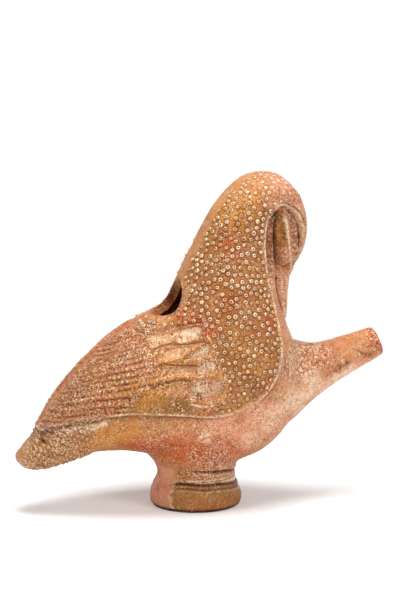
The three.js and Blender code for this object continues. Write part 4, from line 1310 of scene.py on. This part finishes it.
def hollow_marks(co, x, side, z, marks):
    """Painted shade in the hollows beside the face, darkest under the hood, and in the filling hole, with a
    little lime on it.
    """
    xz = co[:, [0, 2]]
    hollow = inside(xz, hollow_line) * ramp(side, 19, 15)
    # painted shade, darker towards the back and the top of the hollow, and a painted shadow under the hood's
    # overhang
    marks["dirt_and_shade"] += hollow * (0.5 * ramp(x, 41, 36) + 0.8 * ramp(z, 137, 144)) * ramp(z, 114, 122)
    in_edge = ramp(depth_in(xz, hollow_line), 4, 1)
    marks["dirt_and_shade"] += hollow * 1.3 * in_edge * ramp(z, 124, 134) * ramp(x, 34, 40)
    marks["ochre"] += hollow * 0.8 * ramp(z, 112, 120)
    marks["red"] += hollow * 0.5 * ramp(z, 112, 120)
    marks["lime_and_painted_light"] += hollow * 0.9 * ramp(grain(co, 1.2, 13), 0.1, 0.35)
    hole = np.hypot(x - HOLE_CENTRE[0], z - HOLE_CENTRE[1])
    # painted shade inside the filling hole
    marks["dirt_and_shade"] += 0.8 * ramp(hole, 9, 6) * (side < 14)


def collar_marks(x, y, z, marks):
    """The foot's smooth pink band runs on up the collar; the rest has lines of lime and red."""
    on_collar = ramp(z, 24, 19)
    behind = ramp(np.abs(np.arctan2(y, -x)), 0.95, 0.75)
    marks["ochre"] += 0.6 * on_collar * (1 - behind)
    marks["pink"] += 1.2 * on_collar * behind
    marks["smooth"] += 1.2 * on_collar * behind
    marks["lime_and_painted_light"] += 1.2 * stroke(z - 15.2, 0.45) * (1 - behind)
    marks["red"] += 0.5 * stroke(z - 17.5, 1.2) * (1 - behind)


def clay_marks(co):
    x, y, z = co.T
    side = np.abs(y)
    marks = relief(co)
    del marks["height"]
    drift = grain(co, 7, 9)
    patched(x, z, drift, marks)
    plumage_marks(co, x, z, marks)
    spout_marks(co, x, z, drift, marks)
    back_marks(x, side, z, drift, marks)
    hollow_marks(co, x, side, z, marks)
    collar_marks(x, y, z, marks)
    return marks


# %% [markdown]
# The ground round the foot of every pellet gets painted shade, tinted red. The distance to the nearest pellet
# tells where. After that the marks of all the pieces can go on. The foot's were drawn on the ring before its
# ledges were pushed about, so they follow the ledges.


# %% The marks go on
def shade_round_pellets(co, spots):
    """Painted shade in the ground close to each pellet, none under it or far from it."""
    tree = KDTree(len(spots))
    for i, spot in enumerate(spots):
        tree.insert(spot, i)
    tree.balance()
    distance = np.array([tree.find(p)[2] for p in co])
    return ramp(distance, 0.8, 1.1) * ramp(distance, 1.8, 1.2)


for hand, half in halves.items():
    co = points_of(half)
    marks = clay_marks(co)
    ground = ramp(plumage(co), -2.2, -0.6) * (1 - 0.6 * ramp(co[:, 2], 146, 158))
    near = shade_round_pellets(co, plumages[hand][1]) * ground
    # painted shade round each pellet's foot, dark with a red tint
    marks["dirt_and_shade"] += 0.85 * near
    marks["red"] += 0.8 * near * (1 - ramp(co[:, 2], 140, 152))
    mark(half, marks)
for piece in [*wings.values(), tail, spout]:
    mark(piece, clay_marks(points_of(piece)))
for piece in (face, bill):
    mark(piece, face_relief(points_of(piece))[1])

# %% Marks of the foot
angle, height = np.arctan2(foot_flat[:, 1], -foot_flat[:, 0]), foot_flat[:, 2]
band, edge = foot_band(angle, height)
foot_drift = 0.5 + 0.5 * grain(foot_flat, 6, 15)
lime_on_ledges = 0.8 * stroke(height - 9.9, 0.35) + 2.0 * stroke(height - 14.2, 0.55)
dirt_and_shade_in_grooves = 1.7 * stroke(height - 12.9, 0.5) + 1.0 * stroke(height - 10.9, 0.4)
mark(foot, {
    "ochre": 1.1 * (1 - band),
    "pink": 1.3 * band,
    "red": 0.8 * ramp(height, 9, 2) * foot_drift * (1 - band),
    "lime_and_painted_light": lime_on_ledges * (1 - band) + 1.4 * edge,
    # dirt and painted shade in the grooves, and a black painted contact shadow along the bottom edge
    "dirt_and_shade": dirt_and_shade_in_grooves * (1 - band) + 2 * ramp(height, 2.2, 0.9),
    "veins": 0.25 * (1 - band) * foot_drift,
    "gold": 0.8 * ramp(height, 6, 2) * (1 - band) * foot_drift,
    "smooth": 0.6 * ramp(height, 12, 10) + band,
})
print("marks on the foot:", sorted(layer.name for layer in foot.data.attributes if layer.name in PAINTS))

# %% [markdown]
# ## Colours and a recipe book
#
# Colours are written as a painter would pick them from a chart, from 0 to 255, and turned into the linear
# values that Blender counts in. The materials are built from a handful of nodes over and over, so each of
# these gets one short word in a recipe book: a cloud of noise, a soft ramp, a blend, a painted mark.


# %% Colours
def srgb(r, g, b):
    def linear(v):
        v /= 255
        return v / 12.92 if v < 0.04045 else ((v + 0.055) / 1.055) ** 2.4

    return linear(r), linear(g), linear(b), 1.0


CREAM, TAN, SHADE = srgb(242, 212, 176), srgb(206, 146, 90), srgb(84, 38, 12)
OLIVE, GOLD, PINK, RUST = srgb(158, 104, 38), srgb(202, 132, 50), srgb(222, 150, 114), srgb(186, 78, 24)
BRICK, BLACK_SHADE = srgb(128, 48, 18), srgb(36, 18, 8)
PALE_SPECK, DARK_SPECK, LIME_SPECK = srgb(240, 202, 152), srgb(128, 56, 20), srgb(250, 232, 212)
print("tan in linear values:", [round(v, 3) for v in TAN[:3]])


# %% Recipe book
CLAY_IOR, CLAY_SHEEN = 1.45, 0.3
BUMP_DEPTH = 0.6  # millimetres between the lows and the highs of the grain


class Recipe:
    """Adds nodes to a material in a few words."""

    def __init__(self, name):
        self.material = bpy.data.materials.new(name)
        self.material.use_nodes = True
        self.nodes = self.material.node_tree.nodes
        self.links = self.material.node_tree.links
        self.nodes.clear()
        self.place = self.nodes.new("ShaderNodeTexCoord").outputs["Object"]

    def fill(self, socket, value):
        """Links a node's output, or sets a plain value on the socket itself."""
        if isinstance(value, bpy.types.NodeSocket):
            self.links.new(value, socket)
        else:
            socket.default_value = value

    def cloud(self, size, detail=3.0, roughness=0.55, shift=0.0):
        """Noise with lumps of about the given size in millimetres."""
        node = self.nodes.new("ShaderNodeTexNoise")
        node.noise_dimensions = "4D" if shift else "3D"
        if shift:
            node.inputs["W"].default_value = shift
        node.inputs["Scale"].default_value = 1 / (size * MM)
        node.inputs["Detail"].default_value = detail
        node.inputs["Roughness"].default_value = roughness
        self.links.new(self.place, node.inputs["Vector"])
        return node.outputs["Fac"]

    def spread(self, value, low, high, out_low=0.0, out_high=1.0):
        """A soft ramp: low turns into out_low, high into out_high."""
        node = self.nodes.new("ShaderNodeMapRange")
        node.interpolation_type = "SMOOTHSTEP"
        settings = {"Value": value, "From Min": low, "From Max": high}
        settings |= {"To Min": out_low, "To Max": out_high}
        for name, setting in settings.items():
            self.fill(node.inputs[name], setting)
        return node.outputs["Result"]

    def maths(self, how, a, b, clamp=False):
        node = self.nodes.new("ShaderNodeMath")
        node.operation, node.use_clamp = how, clamp
        self.fill(node.inputs[0], a)
        self.fill(node.inputs[1], b)
        return node.outputs[0]

    def painted(self, name):
        """A named value on the points."""
        node = self.nodes.new("ShaderNodeAttribute")
        node.attribute_name = name
        return node.outputs["Fac"]

    def blend(self, share, a, b):
        """Share 0 gives the first colour, share 1 the second."""
        node = self.nodes.new("ShaderNodeMix")
        node.data_type = "RGBA"
        self.fill(node.inputs["Factor"], share)
        self.fill(node.inputs[6], a)
        self.fill(node.inputs[7], b)
        return node.outputs[2]

    def clay(self, color, gloss, bump, strength):
        """The finished surface: colour, roughness and grain."""
        shader = self.nodes.new("ShaderNodeBsdfPrincipled")
        out = self.nodes.new("ShaderNodeOutputMaterial")
        relief = self.nodes.new("ShaderNodeBump")
        relief.inputs["Strength"].default_value = strength
        relief.inputs["Distance"].default_value = BUMP_DEPTH * MM
        self.fill(relief.inputs["Height"], bump)
        self.fill(shader.inputs["Base Color"], color)
        self.fill(shader.inputs["Roughness"], gloss)
        shader.inputs["IOR"].default_value = CLAY_IOR
        shader.inputs["Specular IOR Level"].default_value = CLAY_SHEEN
        self.links.new(relief.outputs["Normal"], shader.inputs["Normal"])
        self.links.new(shader.outputs["BSDF"], out.inputs["Surface"])
        return self.material


# %% [markdown]
# ## Fired clay
#
# One recipe serves all the clay, with a few settings that differ from piece to piece. Soft clouds of colour
# come first, then the painted marks, then the grain that makes the whole skin look salted with lime and grit.
# The slip has a little gloss, so its roughness varies with the clouds. All of it reads the object's own
# coordinates, so the pattern stays put when the bottle moves.


# %% Layers of the clay
def washed(r, color):
    """Thin washes of colour where they are painted, each with a frayed edge of its own."""
    washes = (("ochre", OLIVE, 6, 5.0), ("gold", GOLD, 5, 6.0), ("pink", PINK, 7, 7.0), ("red", RUST, 4, 3.0))
    for paint, wash, size, shift in washes:
        edge = r.spread(r.cloud(size, 5, 0.65, shift), 0.36, 0.58, 0.25, 1.0)
        color = r.blend(r.maths("MULTIPLY", r.painted(paint), edge, True), color, wash)
    return color


def veined(r, color):
    """Fine cracks in the slip: pale ones filled with lime, and coarser rusty ones."""
    fine_crack = r.maths("ABSOLUTE", r.maths("SUBTRACT", r.cloud(1.7, 4, 0.6, 17.0), 0.5), 0.0)
    lime_veins = r.maths("MULTIPLY", r.painted("veins"), r.spread(fine_crack, 0.042, 0.01), True)
    color = r.blend(lime_veins, color, CREAM)
    coarse_crack = r.maths("ABSOLUTE", r.maths("SUBTRACT", r.cloud(2.8, 4, 0.65, 27.0), 0.5), 0.0)
    rust_veins = r.maths("MULTIPLY", r.painted("veins"), r.spread(coarse_crack, 0.045, 0.015, 0, 0.85), True)
    return r.blend(rust_veins, color, BRICK)


def limed_soiled_and_shaded(r, color):
    """Lime on what stands up, with painted highlights and reflections; dirt and painted shade in what lies
    deep, black where they are thickest.
    """
    pale_cloud = r.spread(r.cloud(1.9, 5, 0.7, 9.0), 0.4, 0.58, 0.1, 1.0)
    # cream for lime, and for the painted highlights and reflections
    color = r.blend(r.maths("MULTIPLY", r.painted("lime_and_painted_light"), pale_cloud, True), color, CREAM)
    dirt_and_shade_cloud = r.spread(r.cloud(2.2, 3, 0.6, 11.0), 0.3, 0.6, 0.55, 1.0)
    color = r.blend(r.maths("MULTIPLY", r.painted("dirt_and_shade"), dirt_and_shade_cloud, True), color, SHADE)
    # black painted shade where dirt and shade are thickest, as in the foot's contact shadow and the deepest
    # grooves
    return r.blend(r.spread(r.painted("dirt_and_shade"), 1.2, 2.0), color, BLACK_SHADE)


def salted(r, color, fine, grit):
    """Cream and dark specks, fewer where the skin is smooth, with bright lime in clusters."""
    here = r.spread(r.painted("smooth"), 0, 1, grit, 0.4 * grit)
    here = r.maths("MULTIPLY", here, r.spread(r.cloud(8, 4, 0.6, 15.0), 0.35, 0.62, 0.35, 1.25))
    lights = r.maths("MULTIPLY", r.spread(fine, 0.53, 0.66, 0, 0.85), here, True)
    color = r.blend(lights, color, PALE_SPECK)
    darks = r.maths("MULTIPLY", r.spread(fine, 0.48, 0.36, 0, 0.95), here, True)
    color = r.blend(darks, color, DARK_SPECK)
    specks = r.cloud(0.6, 2, 0.5, 13.0)
    clusters = r.maths("MULTIPLY", here, r.spread(r.cloud(5, 3, 0.5, 19.0), 0.42, 0.62, 0.1, 1.0))
    color = r.blend(r.maths("MULTIPLY", r.spread(specks, 0.56, 0.68), clusters, True), color, LIME_SPECK)
    return r.blend(r.maths("MULTIPLY", r.spread(specks, 0.43, 0.31, 0, 0.7), here, True), color, SHADE)


# %% Clays of the pieces
def fired_clay(name, ground, worn, rough, grit):
    """Clay whose colour drifts between ground and worn. Rough is the bump's strength, grit the specks'."""
    r = Recipe(name)
    broad, middling, fine = r.cloud(13), r.cloud(3.0, 4), r.cloud(0.9, 3, 0.65)
    color = r.blend(r.spread(broad, 0.38, 0.62), ground, worn)
    color = r.blend(r.spread(middling, 0.46, 0.62, 0, 0.6), color, TAN)
    for layer in (washed, veined, limed_soiled_and_shaded):
        color = layer(r, color)
    color = salted(r, color, fine, grit)
    gloss = r.spread(middling, 0.3, 0.7, 0.3, 0.5)
    bump = r.maths("ADD", r.maths("MULTIPLY", fine, 0.8), r.maths("MULTIPLY", middling, 0.5))
    return r.clay(color, gloss, bump, rough)


body_clay = fired_clay("clay_of_the_halves", srgb(188, 120, 62), srgb(174, 96, 36), 0.7, 0.9)
wing_clay = fired_clay("clay_of_the_wings", srgb(194, 130, 78), srgb(174, 100, 48), 0.9, 1.2)
tail_clay = fired_clay("clay_of_the_tail", srgb(198, 140, 88), srgb(178, 110, 54), 0.9, 1.2)
face_clay = fired_clay("clay_of_the_face", srgb(210, 150, 106), srgb(196, 126, 80), 0.8, 1.0)
spout_clay = fired_clay("clay_of_the_spout", srgb(174, 94, 28), srgb(152, 70, 18), 1.0, 0.9)
foot_clay = fired_clay("clay_of_the_foot", srgb(172, 94, 28), srgb(150, 74, 18), 0.9, 0.7)
print("each of the six clays has", len(body_clay.node_tree.nodes), "nodes")

# %% [markdown]
# The pellets are of a paler, finer clay. Slip has run over some of them, which the patches show, and the
# reed's hole and the pellet's foot get painted shade. They need none of the layers above, so they have a
# short recipe of their own.


# %% Clay of the pellets
def pellet_clay():
    """Pale clay of the pellets, with painted shade inside the reed's hole and round the pellet's foot."""
    r = Recipe("clay_of_the_pellets")
    fine, broad = r.cloud(0.8, 4, 0.7), r.cloud(7, 3)
    color = r.blend(r.spread(broad, 0.38, 0.62), srgb(230, 186, 134), srgb(252, 228, 190))
    color = r.blend(r.spread(r.cloud(3.2, 4, 0.6, 4.0), 0.52, 0.62, 0, 0.85), color, srgb(192, 116, 62))
    # painted shade of the reed's hole and the pellet's foot
    color = r.blend(r.painted("pit"), color, srgb(98, 46, 16))
    return r.clay(color, 0.28, fine, 0.3)


shot_clay = pellet_clay()
print(shot_clay.name, "has", len(shot_clay.node_tree.nodes), "nodes")

# %% [markdown]
# ## Into metres and onto the bottle
#
# Each piece shrinks from millimetres to metres, gets its clay and its soft shading, and takes the place of
# the measured piece it stands for. Nothing on the bottle moves, so everything rides on its one body.

# %% Ride, replace and finish
put_away(lump, plain_lump, wing_block, tail_block, hollows)
pieces = [
    (halves["right"], "body_half_right", "plumage_clay", body_clay),
    (halves["left"], "body_half_left", "plumage_clay", body_clay),
    (wings["right"], "wing_right", "feather_clay", wing_clay),
    (wings["left"], "wing_left", "feather_clay", wing_clay),
    (tail, "tail", "tail_clay", tail_clay),
    (face, "face", "face_clay", face_clay),
    (bill, "bill", "face_clay", face_clay),
    (spout, "spout", "spout_clay", spout_clay),
    (foot, "foot_ring", "foot_clay", foot_clay),
    (base, "foot_base", "foot_clay", foot_clay),
    (plumages["right"][0], None, "plumage_clay", shot_clay),
    (plumages["left"][0], None, "plumage_clay", shot_clay),
]
for piece, node, slot, clay in pieces:
    piece.data.transform(Matrix.Scale(MM, 4))
    piece.data.materials.clear()
    piece.data.materials.append(clay)
    piece.data.shade_smooth()
    piece.data.set_sharp_from_angle(angle=math.radians(50))
    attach(piece, "root")
    if node:
        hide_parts(node)
    piece.data.calc_loop_triangles()
    print(piece.name, len(piece.data.loop_triangles), "triangles")

# %% [markdown]
# ## Floor and backdrop
#
# The photo shows the bottle on a white sweep with only a soft shadow. A white world alone would show no
# shadow. So the floor is matt white near the bottle, where it takes the shadow, and blends into plain white
# further out, but only for rays that come from the camera, so that it throws no extra light on the clay.

# %% Floor
FLOOR_WHITE = 0.9
FLOOR_LIFT = 0.25  # added for the camera, so that the matt floor looks white too
PLAIN_FROM, PLAIN_TO = 0.13, 0.24  # metres from the middle over which matt turns into plain white
FLOOR_RADIUS = 6


def white_sweep():
    r = Recipe("white_sweep")
    matt = r.nodes.new("ShaderNodeBsdfDiffuse")
    matt.inputs["Color"].default_value = (FLOOR_WHITE, FLOOR_WHITE, FLOOR_WHITE, 1)
    path = r.nodes.new("ShaderNodeLightPath")
    lifted = r.nodes.new("ShaderNodeEmission")
    r.links.new(r.maths("MULTIPLY", path.outputs["Is Camera Ray"], FLOOR_LIFT), lifted.inputs["Strength"])
    near = r.nodes.new("ShaderNodeAddShader")
    r.links.new(matt.outputs[0], near.inputs[0])
    r.links.new(lifted.outputs[0], near.inputs[1])
    plain = r.nodes.new("ShaderNodeEmission")
    plain.inputs["Strength"].default_value = 1.0
    length = r.nodes.new("ShaderNodeVectorMath")
    length.operation = "LENGTH"
    r.links.new(r.place, length.inputs[0])
    far = r.spread(length.outputs["Value"], PLAIN_FROM, PLAIN_TO)
    share = r.maths("MULTIPLY", far, path.outputs["Is Camera Ray"])
    mix = r.nodes.new("ShaderNodeMixShader")
    out = r.nodes.new("ShaderNodeOutputMaterial")
    r.links.new(share, mix.inputs[0])
    r.links.new(near.outputs[0], mix.inputs[1])
    r.links.new(plain.outputs[0], mix.inputs[2])
    r.links.new(mix.outputs[0], out.inputs["Surface"])
    return r.material


bm = bmesh.new()
bmesh.ops.create_circle(bm, segments=64, radius=FLOOR_RADIUS, cap_ends=True)
floor = clay_object("floor", bm)
floor.data.materials.append(white_sweep())
print("floor:", 2 * FLOOR_RADIUS, "m across")

# %% [markdown]
# The world lights the shadows a little. The camera sees it as plain white instead, and so do glossy and
# transmitted rays, which is what a mirror or a glass would need.

# %% World
SKY_STRENGTH = 0.2
world = bpy.data.worlds.new("studio")
scene.world = world
world.use_nodes = True
tree = world.node_tree
sky = tree.nodes["Background"]
sky.inputs["Color"].default_value = (1, 1, 1, 1)
sky.inputs["Strength"].default_value = SKY_STRENGTH
backdrop = tree.nodes.new("ShaderNodeBackground")
backdrop.inputs["Strength"].default_value = 1.0
rays = tree.nodes.new("ShaderNodeLightPath").outputs


def either_ray(first, second):
    node = tree.nodes.new("ShaderNodeMath")
    node.operation = "MAXIMUM"
    tree.links.new(first, node.inputs[0])
    tree.links.new(second, node.inputs[1])
    return node.outputs[0]


seen = either_ray(either_ray(rays["Is Camera Ray"], rays["Is Glossy Ray"]), rays["Is Transmission Ray"])
either = tree.nodes.new("ShaderNodeMixShader")
tree.links.new(seen, either.inputs[0])
tree.links.new(sky.outputs[0], either.inputs[1])
tree.links.new(backdrop.outputs[0], either.inputs[2])
tree.links.new(either.outputs[0], tree.nodes["World Output"].inputs["Surface"])
print("world:", len(tree.nodes), "nodes")

# %% [markdown]
# ## Light
#
# The strongest soft box hangs above the bottle and keeps the shadow close under it. A second one stands in
# front to the right. It lights the side that is seen and throws the long soft shadow to the left. A weak one
# on the left opens that shadow and throws the short one to the right. Their size makes the edges soft.

# %% Soft boxes
LIGHT_AIM = (0, 0, 0.07)
SOFT_BOXES = {  # place in metres, size, power in watts
    "overhead": ((0.0, -0.08, 0.95), 0.5, 9.2),
    "front_right": ((0.6, -0.85, 0.5), 0.4, 4.0),
    "left": ((-0.85, -0.35, 0.35), 0.25, 2.0),
}
for name, (place, size, power) in SOFT_BOXES.items():
    light = bpy.data.lights.new(name, "AREA")
    light.shape, light.size, light.energy = "SQUARE", size, power
    lamp = bpy.data.objects.new(name, light)
    lamp.location = place
    lamp.rotation_euler = (Vector(LIGHT_AIM) - Vector(place)).to_track_quat("-Z", "Y").to_euler()
    scene.collection.objects.link(lamp)
    print(name, power, "W")

# %% [markdown]
# ## Camera
#
# A long lens from two and a half metres away, a little above the bottle and a little to the tail's side. The
# distance keeps the outlines as flat as in the photo. A small shift sets the bottle where it stands in the
# picture without turning the camera.

# %% Camera
CAMERA_DISTANCE = 2.5
LENS_PER_METRE = 120.9  # millimetres of lens for each metre of distance
CAMERA_AIM = Vector((0, 0, 0.08))
PICTURE_HEIGHT = 610
turn, look_down = math.radians(-12), math.radians(13)

lens = bpy.data.cameras.new("camera")
lens.lens = CAMERA_DISTANCE * LENS_PER_METRE
lens.shift_x, lens.shift_y = 7 / PICTURE_HEIGHT, 38.6 / PICTURE_HEIGHT
lens.clip_start, lens.clip_end = 0.05, 30
camera = bpy.data.objects.new("camera", lens)
level = math.cos(look_down)
back = Vector((math.sin(turn) * level, -math.cos(turn) * level, math.sin(look_down)))
camera.location = CAMERA_AIM + CAMERA_DISTANCE * back
camera.rotation_euler = (-back).to_track_quat("-Z", "Y").to_euler()
scene.collection.objects.link(camera)
scene.camera = camera
scene.view_settings.view_transform = "Standard"
print("camera at", [round(v, 2) for v in camera.location], "with a lens of", round(lens.lens), "mm")
